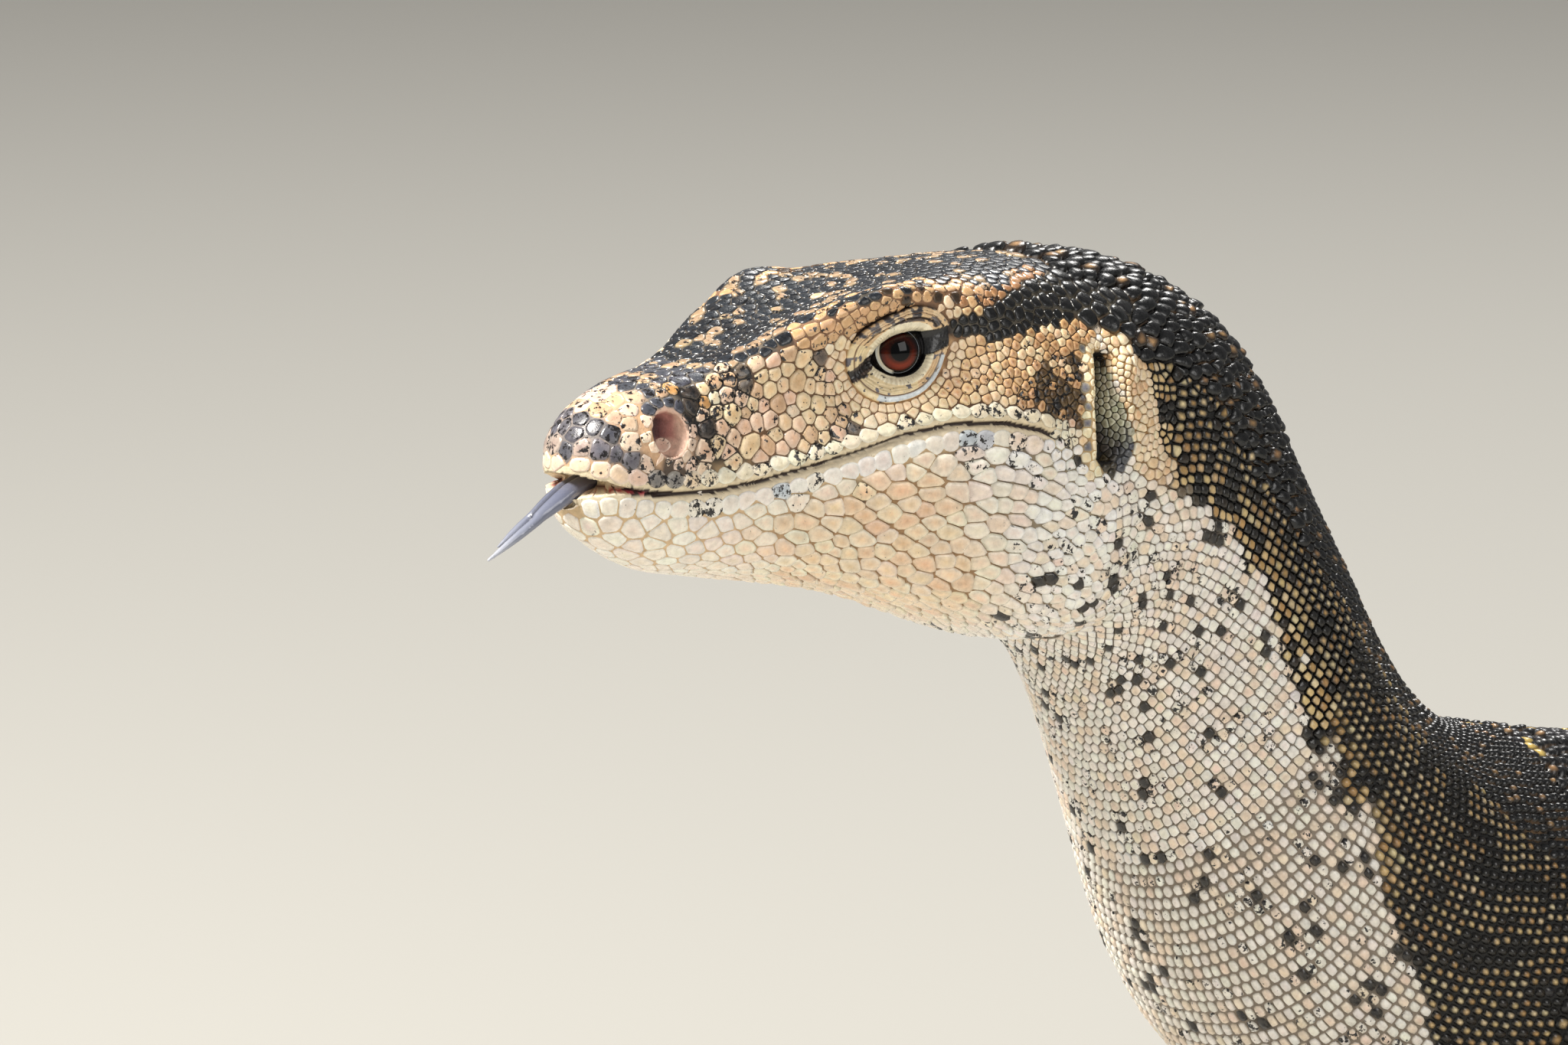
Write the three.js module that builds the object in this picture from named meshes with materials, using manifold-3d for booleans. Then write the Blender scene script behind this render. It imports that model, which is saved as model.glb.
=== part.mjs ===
// An adult Asian water monitor lizard, Varanus salvator, as a still model at life size. It stands low on four
// bent legs with its neck raised, its head level, its tongue out and its tail curled round on the floor.
// The head and the body are lofts through named sections, parted into nodes by thin gaps.
import * as THREE from "three";
import { mergeVertices } from "three/addons/utils/BufferGeometryUtils.js";
import Module from "manifold-3d";

const wasm = await Module();
wasm.setup();

// Driving sizes in millimetres. While it is built, X is to the animal's left, Y runs back from the tip of the
// snout and Z is the height above the floor. The last lines move the middle of its box to the origin.
const GAP = 0.3; // clear gap between two nodes that touch
const SNOUT_HEIGHT = 200; // the tip of the snout above the floor
const HEAD_LENGTH = 130; // from the tip of the snout to the middle of the joint with the neck
const HEAD_AXIS = -10; // the middle of that joint, from the height of the tip of the snout
const HALF_GAP = GAP / 2;

const SKIN_DARK = 0x2e2f33;
const SKIN_HEAD = 0x6f6258;
const SKIN_PALE = 0xd9c7a4;
const EYE_BROWN = 0x4a1f12;
const TONGUE_BLUE = 0x5d6384;
const CLAW_BLACK = 0x1d1a18;

const UP = new THREE.Vector3(0, 0, 1);
const model = new THREE.Group();

const { clamp, lerp, degToRad } = THREE.MathUtils;
const ease = THREE.MathUtils.smoothstep;
const bell = (offset, width) => Math.exp(-((offset / width) ** 2));
const fromSnout = (up) => SNOUT_HEIGHT + up;
const vector = (x, y, z) => new THREE.Vector3(x, y, z);

// Solids

function signedVolume(places, faces) {
  const corner = (i) => new THREE.Vector3().fromArray(places, faces[i] * 3);
  let sum = 0;
  for (let i = 0; i < faces.length; i += 3) {
    sum += corner(i).dot(corner(i + 1).cross(corner(i + 2)));
  }
  return sum / 6;
}

// A closed geometry as a solid that can be joined and cut, with its faces pointing out.
function solidOf(geometry) {
  const bare = geometry.clone();
  bare.deleteAttribute("normal");
  bare.deleteAttribute("uv");
  const merged = mergeVertices(bare, 1e-4);
  const vertProperties = new Float32Array(merged.attributes.position.array);
  const triVerts = Uint32Array.from(merged.index.array);
  if (signedVolume(vertProperties, triVerts) < 0) triVerts.reverse();
  return new wasm.Manifold(new wasm.Mesh({ numProp: 3, vertProperties, triVerts }));
}

const union = (solids) => solids.reduce((whole, solid) => whole.add(solid));
const cutAll = (solid, cutters) => cutters.reduce((left, cutter) => left.subtract(cutter), solid);

function largest(solid) {
  return solid.decompose().sort((a, b) => b.volume() - a.volume())[0];
}

function addNode(name, solid, colour, roughness = 0.55) {
  const made = largest(solid).getMesh();
  const geometry = new THREE.BufferGeometry();
  geometry.setAttribute("position", new THREE.BufferAttribute(made.vertProperties, 3));
  geometry.setIndex(new THREE.BufferAttribute(made.triVerts, 1));
  geometry.computeVertexNormals();
  const material = new THREE.MeshStandardMaterial({ color: colour, roughness, metalness: 0 });
  const mesh = new THREE.Mesh(geometry, material);
  mesh.name = name;
  model.add(mesh);
}

// A smooth curve of numbers through values at the given knots.
function profile(knots, values) {
  const curve = new THREE.CubicInterpolant(knots, values, 1);
  return (at) => curve.evaluate(at)[0];
}

// A closed loft. pointAt(ring, share) is the point of ring 0, 1, ... at that share of a turn from the top.
function loft(rings, around, pointAt) {
  const geometry = new THREE.CylinderGeometry(1, 1, 1, around, rings - 1);
  const place = geometry.attributes.position;
  for (let i = 0; i < place.count; i++) {
    const [x, y, z] = [place.getX(i), place.getY(i), place.getZ(i)];
    const ring = Math.round((0.5 - y) * (rings - 1));
    const turn = Math.round((Math.atan2(x, z) / (2 * Math.PI)) * around + around) % around;
    const onAxis = Math.hypot(x, z) < 0.5;
    const point = onAxis
      ? pointAt(ring, 0).lerp(pointAt(ring, 0.5), 0.5)
      : pointAt(ring, turn / around);
    place.setXYZ(i, point.x, point.y, point.z);
  }
  return solidOf(geometry);
}

// A round tube through stations of a place and a radius. grow widens it and lengthens both its ends.
function tube(stations, around, rings, grow = 0) {
  const curve = new THREE.CatmullRomCurve3(stations.map((s) => s.at), false, "centripetal");
  const radiusAt = profile(stations.map((_, i) => i), stations.map((s) => s.radius));
  const frames = [];
  let top = curve.getTangent(0).cross(vector(0.31, 0.17, 0.94)).normalize();
  for (let ring = 0; ring < rings; ring++) {
    const t = ring / (rings - 1);
    const along = curve.getTangent(t);
    top = top.clone().addScaledVector(along, -top.dot(along)).normalize();
    const reach = grow * ((ring === rings - 1) - (ring === 0));
    frames.push({
      centre: curve.getPoint(t).addScaledVector(along, reach),
      top,
      left: top.clone().cross(along),
      radius: radiusAt(t * (stations.length - 1)) + grow,
    });
  }
  return loft(rings, around, (ring, share) => {
    const { centre, top: high, left, radius } = frames[ring];
    const angle = share * 2 * Math.PI;
    return centre
      .clone()
      .addScaledVector(high, radius * Math.cos(angle))
      .addScaledVector(left, radius * Math.sin(angle));
  });
}

function ellipsoid(centre, radii, turn = new THREE.Matrix4(), around = 20, rings = 12) {
  const geometry = new THREE.SphereGeometry(1, around, rings);
  geometry.scale(...radii);
  geometry.applyMatrix4(turn);
  geometry.translate(...centre);
  return solidOf(geometry);
}

// A flat outline in the plane of Y and Z, drawn out along X to both sides of the middle.
function sheetAcross(outline, half) {
  const shape = new THREE.Shape(outline.map(([y, z]) => new THREE.Vector2(y, z)));
  const geometry = new THREE.ExtrudeGeometry(shape, { depth: 2 * half, bevelEnabled: false });
  geometry.translate(0, 0, -half);
  geometry.applyMatrix4(new THREE.Matrix4().makeBasis(vector(0, 1, 0), UP, vector(1, 0, 0)));
  return solidOf(geometry);
}

const FLOOR_BLOCK = 4000;
const floorCut = solidOf(
  new THREE.BoxGeometry(FLOOR_BLOCK, FLOOR_BLOCK, FLOOR_BLOCK).translate(0, 0, -FLOOR_BLOCK / 2),
);

// The body: sections from the joint with the head to the tip of the tail, each with its middle, half its width,
// its height above and below that middle, and how far its plane leans back in degrees.
const BODY = [
  { at: [0, HEAD_LENGTH, fromSnout(HEAD_AXIS)], half: 29, above: 36, below: 36, lean: 13 },
  { at: [0, 138.8, fromSnout(-14.2)], half: 28, above: 36.3, below: 36.3, lean: 21 },
  { at: [0, 146.5, fromSnout(-20.8)], half: 27, above: 36.7, below: 36.7, lean: 28 },
  { at: [0, 153.3, fromSnout(-30.3)], half: 27, above: 36, below: 36, lean: 34 },
  { at: [0, 161.5, fromSnout(-44.8)], half: 28, above: 35.3, below: 35.3, lean: 39 },
  { at: [0, 171, fromSnout(-63.5)], half: 30, above: 35.8, below: 35.8, lean: 42 },
  { at: [0, 183, fromSnout(-86)], half: 33.5, above: 37.6, below: 37.6, lean: 40 },
  { at: [-1, 204, fromSnout(-106)], half: 38, above: 41, below: 41, lean: 29 },
  { at: [-3, 239, fromSnout(-118)], half: 43, above: 43, below: 44, lean: 15 },
  { at: [-6, 282, fromSnout(-125)], half: 49, above: 43, below: 47, lean: 5 },
  { at: [-13, 350, fromSnout(-134)], half: 56, above: 44, below: 46, lean: 0 },
  { at: [-20, 430, fromSnout(-138)], half: 61, above: 44, below: 46, lean: 0 },
  { at: [-20, 510, fromSnout(-140)], half: 57, above: 42, below: 43, lean: 0 },
  { at: [-12, 590, fromSnout(-142)], half: 45, above: 40, below: 40, lean: 0 },
  { at: [6, 655, fromSnout(-150)], half: 34, above: 35, below: 34, lean: 0 },
  { at: [45, 745, fromSnout(-159)], half: 25, above: 32, below: 33, lean: 0 },
  { at: [125, 838, fromSnout(-167)], half: 19, above: 30, below: 33.3, lean: 0 },
  { at: [235, 893, fromSnout(-172)], half: 14.5, above: 27, below: 28.3, lean: 0 },
  { at: [355, 898, fromSnout(-176)], half: 11.5, above: 24, below: 24.3, lean: 0 },
  { at: [465, 852, fromSnout(-180)], half: 9, above: 20, below: 20.3, lean: 0 },
  { at: [552, 768, fromSnout(-184.5)], half: 7, above: 15.5, below: 15.8, lean: 0 },
  { at: [610, 660, fromSnout(-189)], half: 4.8, above: 11, below: 11.3, lean: 0 },
  { at: [650, 552, fromSnout(-193.5)], half: 3, above: 6.4, below: 6.8, lean: 0 },
  { at: [684, 480, fromSnout(-197.4)], half: 1.3, above: 2, below: 2.8, lean: 0 },
];
const TAIL_TIP = BODY.length - 1;
const VENT = 14; // the section where the trunk becomes the tail
const ROUNDNESS = 2.25; // 2 is an ellipse, more is boxier
const TAIL_RIDGE = 0.42; // how much the top of the tail narrows towards its double keel
const knots = BODY.map((_, i) => i);
const halfAt = profile(knots, BODY.map((s) => s.half));
const aboveAt = profile(knots, BODY.map((s) => s.above));
const belowAt = profile(knots, BODY.map((s) => s.below));
const leanAt = profile(knots, BODY.map((s) => degToRad(s.lean)));
const spine = new THREE.CatmullRomCurve3(BODY.map((s) => vector(...s.at)), false, "centripetal");

// A section's middle, with the directions to the left and to its top in its plane, and back across the plane.
function bodyFrame(t) {
  const along = spine.getTangent(t / TAIL_TIP);
  const heading = along.setZ(0).normalize();
  const lean = leanAt(t);
  return {
    centre: spine.getPoint(t / TAIL_TIP),
    left: heading.clone().cross(UP),
    top: heading.clone().multiplyScalar(Math.sin(lean)).setZ(Math.cos(lean)),
    back: heading.clone().multiplyScalar(Math.cos(lean)).setZ(-Math.sin(lean)),
  };
}

const JOINT_LEAN = Math.tan(leanAt(0)); // how far the joint's plane runs back per millimetre up
const JOINT_STRETCH = Math.hypot(1, JOINT_LEAN);

// The head: rails run back from the snout, and each section is a closed curve through them. out is the
// distance from the middle plane and up is from the height of the tip of the snout.
const RAIL_KNOTS = [0, 8, 20, 35, 50, 65, 80, 95, 112, HEAD_LENGTH];
const CROWN = {
  out: [0, 0, 0, 0, 0, 0, 0, 0, 0, 0],
  up: [6.2, 9.3, 13.0, 15.4, 19.0, 23.0, 26.6, 28.4, 28.0, 25.2],
  noseLength: 8,
  bluntness: 0.5,
};
const BROW = {
  out: [3.6, 5.6, 8.2, 10.2, 14.6, 18.0, 18.9, 18.6, 18.6, 19.0],
  up: [5.0, 7.6, 11.4, 14.2, 21.2, 25.8, 25.6, 24.8, 22.8, 19.0],
  noseLength: 8,
  bluntness: 0.5,
};
const CHEEK = {
  out: [6.4, 9.2, 11.7, 12.9, 14.6, 16.6, 20.2, 24.8, 27.2, 27.6],
  up: [2.0, 3.0, 4.6, 6.4, 9.6, 13.0, 13.4, 12.2, 9.4, 6.0],
  noseLength: 7,
  bluntness: 0.5,
};
const UPPER_LIP = {
  out: [7.0, 9.8, 12.6, 14.6, 17.6, 21.0, 24.8, 27.8, 29.2, 29.0],
  up: [-2.2, -3.2, -5.4, -5.6, -3.2, -0.2, 2.4, 1.0, -3.4, -8.0],
  noseLength: 7,
  bluntness: 0.5,
};
const LOWER_LIP = {
  out: [6.4, 9.0, 12.2, 14.8, 18.0, 21.4, 24.8, 27.8, 29.2, 28.6],
  up: [-6.8, -8.6, -11.6, -12.2, -11.6, -10.6, -10.6, -13.2, -17.6, -22.0],
  noseLength: 7,
  bluntness: 0.6,
};
const JAW = {
  out: [4.2, 6.2, 9.2, 11.8, 14.8, 17.8, 20.6, 22.6, 23.0, 21.6],
  up: [-9.6, -13.0, -18.0, -20.4, -22.6, -25.4, -29.4, -34.0, -38.0, -39.4],
  noseLength: 7,
  bluntness: 0.6,
};
const KEEL = {
  out: [0, 0, 0, 0, 0, 0, 0, 0, 0, 0],
  up: [-11.0, -15.2, -22.0, -25.2, -27.4, -30.0, -33.8, -39.0, -43.4, -45.0],
  noseLength: 7,
  bluntness: 0.6,
};
const RAILS = [CROWN, BROW, CHEEK, UPPER_LIP, LOWER_LIP, JAW, KEEL];
for (const rail of RAILS) {
  rail.outAt = profile(RAIL_KNOTS, rail.out);
  rail.upAt = profile(RAIL_KNOTS, rail.up);
}
const SNOUT_POLE = -1.5; // the height where all the rails meet at the front
const SNOUT_START = 3; // how far back from the foremost lip they meet
const LEAN_START = 88; // from here back the sections lean more and more with the neck

function headSection(a) {
  const half = RAILS.map((rail) => {
    const closing = Math.min(1, (a - SNOUT_START) / rail.noseLength);
    const share = (1 - (1 - closing) ** 2) ** rail.bluntness;
    return [rail.outAt(a) * share, lerp(SNOUT_POLE, rail.upAt(a), share)];
  });
  const left = half.map(([out, up]) => vector(out, 0, up));
  const right = half.slice(1, -1).reverse().map(([out, up]) => vector(-out, 0, up));
  return new THREE.CatmullRomCurve3([...left, ...right], true, "centripetal");
}

// Loose skin stands up in a fold behind the ear, and runs on down the side of the neck.
const FOLD_LINE = [
  [121, 17],
  [122.5, 5],
  [123.5, -6],
  [130, -17],
  [149, -28],
  [159, -46],
  [168, -66],
  [180, -90],
].map(([y, up]) => vector(0, y, fromSnout(up)));
const FOLD = { height: 2.2, width: 3.4, from: 15 }; // from is how far out of the middle plane it begins

function foldHeight(point) {
  const flat = vector(0, point.y, point.z);
  let nearest = Infinity;
  for (let i = 1; i < FOLD_LINE.length; i++) {
    const stretch = new THREE.Line3(FOLD_LINE[i - 1], FOLD_LINE[i]);
    nearest = Math.min(nearest, stretch.closestPointToPoint(flat, true, vector()).distanceTo(flat));
  }
  return FOLD.height * bell(nearest, FOLD.width) * ease(Math.abs(point.x), FOLD.from, FOLD.from + 8);
}

function withFold(point, outward) {
  return point.addScaledVector(outward, foldHeight(point));
}

function headPoint(section, a, share, shift = 0) {
  const point = section.getPoint(share);
  const lean = JOINT_LEAN * ease(a, LEAN_START, HEAD_LENGTH);
  const place = vector(point.x, a + shift + lean * (point.z - HEAD_AXIS), fromSnout(point.z));
  return withFold(place, vector(Math.sign(point.x), 0, 0));
}

const HEAD_AROUND = 36;
const RING_STEP = 4.4;
const headRings = [0.15, 0.7, 1.6, 2.9, 4.6, 6.8, 9.8, 13.4].map((a) => SNOUT_START + a);
while (headRings.at(-1) < HEAD_LENGTH - 1.5 * RING_STEP) headRings.push(headRings.at(-1) + RING_STEP);
headRings.push(HEAD_LENGTH);
const headSections = headRings.map(headSection);
const headLoft = loft(headRings.length, HEAD_AROUND, (ring, share) => {
  const shift = ring === headRings.length - 1 ? -HALF_GAP * JOINT_STRETCH : 0;
  return headPoint(headSections[ring], headRings[ring], share, shift);
});

// Eyes: a ball that looks out and forward, held by two lids that stand up from the face.
const EYE = { radius: 6.8, centre: [12.2, 74.9, fromSnout(14.1)], forward: 0.5, upward: 0.06 };
const LIDS = { along: 11, high: 8.9, out: 8.7 };
const OPENING = { front: 7.6, back: 8.2, above: 4.5, below: 3.9, tilt: degToRad(14), reach: 14 };
const BROW_RIDGE = { from: 55, to: 84, inset: 1.3, radius: 2.9 };

// The turn from a ball that looks along Z, with Y up and X towards the back of the head, to the eye's place.
function eyeTurn(side) {
  const look = vector(side, -EYE.forward, EYE.upward).normalize();
  const towardsBack = vector(0, 1, 0).addScaledVector(look, -look.y).normalize();
  const high = UP.clone().addScaledVector(look, -look.z);
  high.addScaledVector(towardsBack, -high.dot(towardsBack)).normalize();
  const centre = vector(side * EYE.centre[0], EYE.centre[1], EYE.centre[2]);
  return new THREE.Matrix4().makeBasis(towardsBack, high, look).setPosition(centre);
}

function eyeBall(side, radius) {
  return solidOf(new THREE.SphereGeometry(radius, 18, 12).applyMatrix4(eyeTurn(side)));
}

function eyeLids(side) {
  const geometry = new THREE.SphereGeometry(1, 20, 12).scale(LIDS.along, LIDS.high, LIDS.out);
  return solidOf(geometry.rotateZ(OPENING.tilt).applyMatrix4(eyeTurn(side)));
}

function lidOpening(side) {
  const almond = new THREE.Shape();
  almond.moveTo(-OPENING.front, 0);
  almond.bezierCurveTo(
    -OPENING.front * 0.55, OPENING.above * 1.3, OPENING.back * 0.5, OPENING.above * 1.35, OPENING.back, 0,
  );
  almond.bezierCurveTo(
    OPENING.back * 0.5, -OPENING.below * 1.3, -OPENING.front * 0.6, -OPENING.below * 1.35, -OPENING.front, 0,
  );
  const options = { depth: OPENING.reach, bevelEnabled: false, curveSegments: 6 };
  const geometry = new THREE.ExtrudeGeometry(almond, options).rotateZ(OPENING.tilt);
  return solidOf(geometry.applyMatrix4(eyeTurn(side)));
}

function browRidge(side) {
  const stations = [];
  for (let i = 0; i <= 4; i++) {
    const a = lerp(BROW_RIDGE.from, BROW_RIDGE.to, i / 4);
    const swell = Math.sin((Math.PI * (i + 0.6)) / 5.2);
    const out = BROW.outAt(a) - BROW_RIDGE.inset;
    const at = vector(side * out, a, fromSnout(BROW.upAt(a) - BROW_RIDGE.inset));
    stations.push({ at, radius: BROW_RIDGE.radius * swell });
  }
  return tube(stations, 10, 9);
}

// Nostrils and ears are round pits.
const NOSTRIL = { centre: [12.6, 20.4, 4.2], radii: [3.2, 3.4, 4.1] };
const EAR = { centre: [31, 115.6, 2.5], radii: [6.4, 4.4, 11.5] };

function pit(side, { centre, radii }) {
  return ellipsoid([side * centre[0], centre[1], fromSnout(centre[2])], radii, undefined, 12, 8);
}

// The mouth is a thin gap along the lips that opens in front, and it ends at the corner of the mouth. From there
// the gap between the lower jaw and the throat runs down.
const LIP_LINE = [
  [13, -5.9, 0.5],
  [20, -6.9, 0.32],
  [30, -7.2, 0.32],
  [39, -6.3, 0.32],
  [48, -4.8, 0.32],
  [59, -2.7, 0.32],
  [70, 0.0, 0.32],
  [80, 1.3, 0.32],
  [91, 0.5, 0.32],
  [99, -1.5, 0.32],
];
const LIPS_APART = { front: [-6, -1.2], rim: [1.4, -2.5], inner: [7.6, -4.1] };
const LOWER_FRONT = { front: [-6, -8.0], rim: [3.6, -6.7], inner: [7.6, -5.7] };
const MOUTH_CORNER = { y: 104.5, up: -4.2 };
const THROAT_GAP = { y: 110, up: -70 };

function mouthOutline() {
  const above = LIP_LINE.map(([y, up, gap]) => [y, fromSnout(up + gap / 2)]);
  const under = LIP_LINE.map(([y, up, gap]) => [y, fromSnout(up - gap / 2)]).reverse();
  const lifted = ([y, up]) => [y, fromSnout(up)];
  return [
    ...Object.values(LIPS_APART).map(lifted),
    ...above,
    [MOUTH_CORNER.y + HALF_GAP, fromSnout(MOUTH_CORNER.up)],
    [THROAT_GAP.y + HALF_GAP, fromSnout(THROAT_GAP.up)],
    [THROAT_GAP.y - HALF_GAP, fromSnout(THROAT_GAP.up)],
    [MOUTH_CORNER.y - HALF_GAP, fromSnout(MOUTH_CORNER.up - 0.6)],
    ...under,
    ...Object.values(LOWER_FRONT).map(lifted).reverse(),
  ];
}

// The tongue bends down over the lower lip, runs on straight between the lips and forks.
const TONGUE_ROOT = [
  { at: vector(0, 30, fromSnout(-7.2)), radius: 2.3 },
  { at: vector(0, 17, fromSnout(-5.4)), radius: 2.7 },
  { at: vector(0, 9, fromSnout(-4.9)), radius: 2.9 },
  { at: vector(0, 3.4, fromSnout(-7.2)), radius: 2.7 },
  { at: vector(0, -2.2, fromSnout(-10.1)), radius: 1.9 },
];
const TONGUE_TIPS = [vector(1.2, -15.5, fromSnout(-16.6)), vector(-1.2, -10.7, fromSnout(-14.9))];
const TONGUE_FLATNESS = 0.62;

// Flattens a row of stations' tube: the tongue is wider than it is thick.
function flatTube(stations, around, rings, grow = 0) {
  const squeeze = vector(1, 1, TONGUE_FLATNESS);
  const widened = stations.map(({ at, radius }) => ({ at: at.clone().divide(squeeze), radius }));
  const made = tube(widened, around, rings, grow).getMesh();
  const geometry = new THREE.BufferGeometry();
  geometry.setAttribute("position", new THREE.BufferAttribute(made.vertProperties, 3));
  geometry.setIndex(new THREE.BufferAttribute(made.triVerts, 1));
  return solidOf(geometry.scale(...squeeze));
}

function tongueTine(tip) {
  const fork = TONGUE_ROOT.at(-1).at;
  const station = (share, out, radius) => ({
    at: fork.clone().lerp(tip, share).setX(Math.sign(tip.x) * out),
    radius,
  });
  const stations = [station(-0.25, 0.7, 1.0), station(0.05, 1.05, 1.05), station(0.5, 1.2, 0.9)];
  return tube([...stations, { at: tip, radius: 0.35 }], 8, 8);
}

function addHead() {
  const tonguePocket = flatTube(TONGUE_ROOT, 12, 9, GAP + 0.2);
  const pits = [1, -1].flatMap((side) => [
    eyeBall(side, EYE.radius + GAP),
    lidOpening(side),
    pit(side, NOSTRIL),
    pit(side, EAR),
  ]);
  const raised = [1, -1].flatMap((side) => [eyeLids(side), browRidge(side)]);
  const whole = cutAll(union([headLoft, ...raised]), [...pits, tonguePocket]);
  const parted = whole.subtract(sheetAcross(mouthOutline(), 60)).decompose();
  const [head, jaw] = parted.sort((a, b) => b.volume() - a.volume());
  addNode("head", head, SKIN_HEAD);
  addNode("lower_jaw", jaw, SKIN_PALE);
  addNode("eye_left", eyeBall(1, EYE.radius), EYE_BROWN, 0.08);
  addNode("eye_right", eyeBall(-1, EYE.radius), EYE_BROWN, 0.08);
  const tongue = union([flatTube(TONGUE_ROOT, 12, 9), ...TONGUE_TIPS.map(tongueTine)]);
  addNode("tongue", tongue, TONGUE_BLUE, 0.3);
}

// Neck, trunk and tail. The joint with the head has the head's own last section.
const THROAT_FOLD = { at: 8.1, width: 0.2, height: 3 }; // across the base of the throat
const BLEND_END = 3; // where the neck has lost the shape of the head's last section

function sectionPoint(t, share, grow) {
  const angle = share * 2 * Math.PI;
  const [sine, cosine] = [Math.sin(angle), Math.cos(angle)];
  const size = (Math.abs(sine) ** ROUNDNESS + Math.abs(cosine) ** ROUNDNESS) ** (-1 / ROUNDNESS);
  const ridge = TAIL_RIDGE * ease(t, VENT - 1, VENT + 2) * Math.max(0, cosine) ** 1.5;
  const fold = THROAT_FOLD.height * bell(t - THROAT_FOLD.at, THROAT_FOLD.width) * Math.max(0, -cosine);
  const out = sine * size * (halfAt(t) + grow) * (1 - ridge);
  const up = cosine * size * ((cosine > 0 ? aboveAt(t) : belowAt(t)) + grow + fold);
  return [out, up];
}

const lastHeadSection = headSections.at(-1);

function bodyPoint(t, share, shift = 0, grow = 0) {
  const { centre, back, left, top } = bodyFrame(t);
  let [out, up] = sectionPoint(t, share, grow);
  const headShare = 1 - ease(t, 0, BLEND_END);
  if (headShare > 0) {
    const own = lastHeadSection.getPoint(share);
    out = lerp(out, own.x, headShare);
    up = lerp(up, (own.z - HEAD_AXIS) * JOINT_STRETCH, headShare);
  }
  const point = centre.clone().addScaledVector(left, out).addScaledVector(top, up);
  if (t < VENT) withFold(point, left.clone().multiplyScalar(Math.sign(out)));
  return point.addScaledVector(back, shift);
}

// The stretch of the body between two sections, with half a gap left at both its ends.
function stretch(from, to, rings, around, grow = 0) {
  return loft(rings, around, (ring, share) => {
    const shift = HALF_GAP * ((ring === 0) - (ring === rings - 1));
    return bodyPoint(lerp(from, to, ring / (rings - 1)), share, shift, grow);
  });
}

const STRETCHES = [
  { name: "neck_upper", from: 0, to: 4, rings: 9, around: 36 },
  { name: "neck_lower", from: 4, to: 8, rings: 9, around: 32 },
  { name: "chest", from: 8, to: 10, rings: 7, around: 32 },
  { name: "belly", from: 10, to: 12.4, rings: 7, around: 32 },
  { name: "pelvis", from: 12.4, to: VENT, rings: 6, around: 32 },
  { name: "tail_1", from: VENT, to: 15.6, rings: 6, around: 26 },
  { name: "tail_2", from: 15.6, to: 17.4, rings: 7, around: 24 },
  { name: "tail_3", from: 17.4, to: 19.2, rings: 7, around: 20 },
  { name: "tail_4", from: 19.2, to: 21, rings: 7, around: 16 },
  { name: "tail_5", from: 21, to: TAIL_TIP, rings: 7, around: 12 },
];

function addBody() {
  for (const { name, from, to, rings, around } of STRETCHES) {
    addNode(name, stretch(from, to, rings, around).subtract(floorCut), SKIN_DARK);
  }
}

// Legs. Each is one bent tube from inside the trunk to the sole, parted at the elbow or knee and at the wrist
// or ankle. out is measured from the middle of the body beside the leg, and step moves the whole leg along.
const FORE = {
  upper: [
    { out: 8, back: 282, up: 78, radius: 22 },
    { out: 38, back: 284, up: 75, radius: 23 },
    { out: 66, back: 297, up: 73, radius: 18.5 },
    { out: 89, back: 309, up: 63, radius: 14.5 },
  ],
  lower: [
    { out: 89, back: 309, up: 63, radius: 14.5 },
    { out: 99, back: 297, up: 42, radius: 13 },
    { out: 105, back: 277, up: 19, radius: 9.6 },
  ],
  foot: { out: 109, back: 262, up: 7.4, radii: [13.5, 15, 8.2], heading: 14 },
  fan: [-56, -28, -4, 20, 50],
  lengths: [21, 30, 37, 37, 27],
  middle: -6,
  joints: ["upper_arm", "forearm", "hand"],
};
const HIND = {
  upper: [
    { out: 6, back: 592, up: 62, radius: 26 },
    { out: 36, back: 586, up: 62, radius: 25.5 },
    { out: 68, back: 571, up: 65, radius: 21.5 },
    { out: 97, back: 560, up: 61, radius: 17 },
  ],
  lower: [
    { out: 97, back: 560, up: 61, radius: 17 },
    { out: 111, back: 578, up: 42, radius: 15.2 },
    { out: 118, back: 606, up: 19, radius: 10.6 },
  ],
  foot: { out: 124, back: 594, up: 7.8, radii: [14.5, 21, 8.6], heading: 26 },
  fan: [-34, -15, 3, 20, 58],
  lengths: [24, 36, 48, 58, 34],
  middle: -12,
  joints: ["thigh", "shin", "foot"],
};
const STEPS = { fore: { left: -8, right: 14 }, hind: { left: 12, right: -16 } };
const LEG_AROUND = 14;
const TOE = { around: 7, rings: 5, base: 5.2, tip: 3.1, press: 0.35 };
const CLAW = { around: 6, rings: 4, length: 13, base: 2.5, rise: 1.7, clear: 0.5 };
const DIGITS = ["1", "2", "3", "4", "5"];

function legStations(plan, stations, side, step) {
  return stations.map(({ out, back, up, radius }) => ({
    at: vector(plan.middle + side * out, back + step, up),
    radius,
  }));
}

// The trunk that a leg grows from, a gap larger all round.
const trunk = stretch(7, 15.2, 30, 32, GAP);

// A toe lies on the floor on its pad and ends in a flat face, where its claw begins.
function toeStations(foot, angle, side, length) {
  const [middle, heading] = [foot.at, degToRad(angle)];
  const ahead = vector(side * Math.sin(heading), -Math.cos(heading), 0);
  const start = Math.hypot(foot.radii[0] * Math.sin(heading), foot.radii[1] * Math.cos(heading)) * 0.72;
  const at = (share, height) => middle.clone().addScaledVector(ahead, start + share * length).setZ(height);
  const radiusAt = (share) => lerp(TOE.base, TOE.tip, share);
  return [
    { at: at(-0.2, 6.8), radius: 5.4 },
    { at: at(0.1, 7.2), radius: radiusAt(0.1) },
    { at: at(0.42, radiusAt(0.42) + 1.6), radius: radiusAt(0.42) },
    { at: at(0.74, radiusAt(0.74) - TOE.press), radius: radiusAt(0.74) },
    { at: at(1, radiusAt(1) - TOE.press + 0.5), radius: radiusAt(1) },
  ];
}

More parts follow.
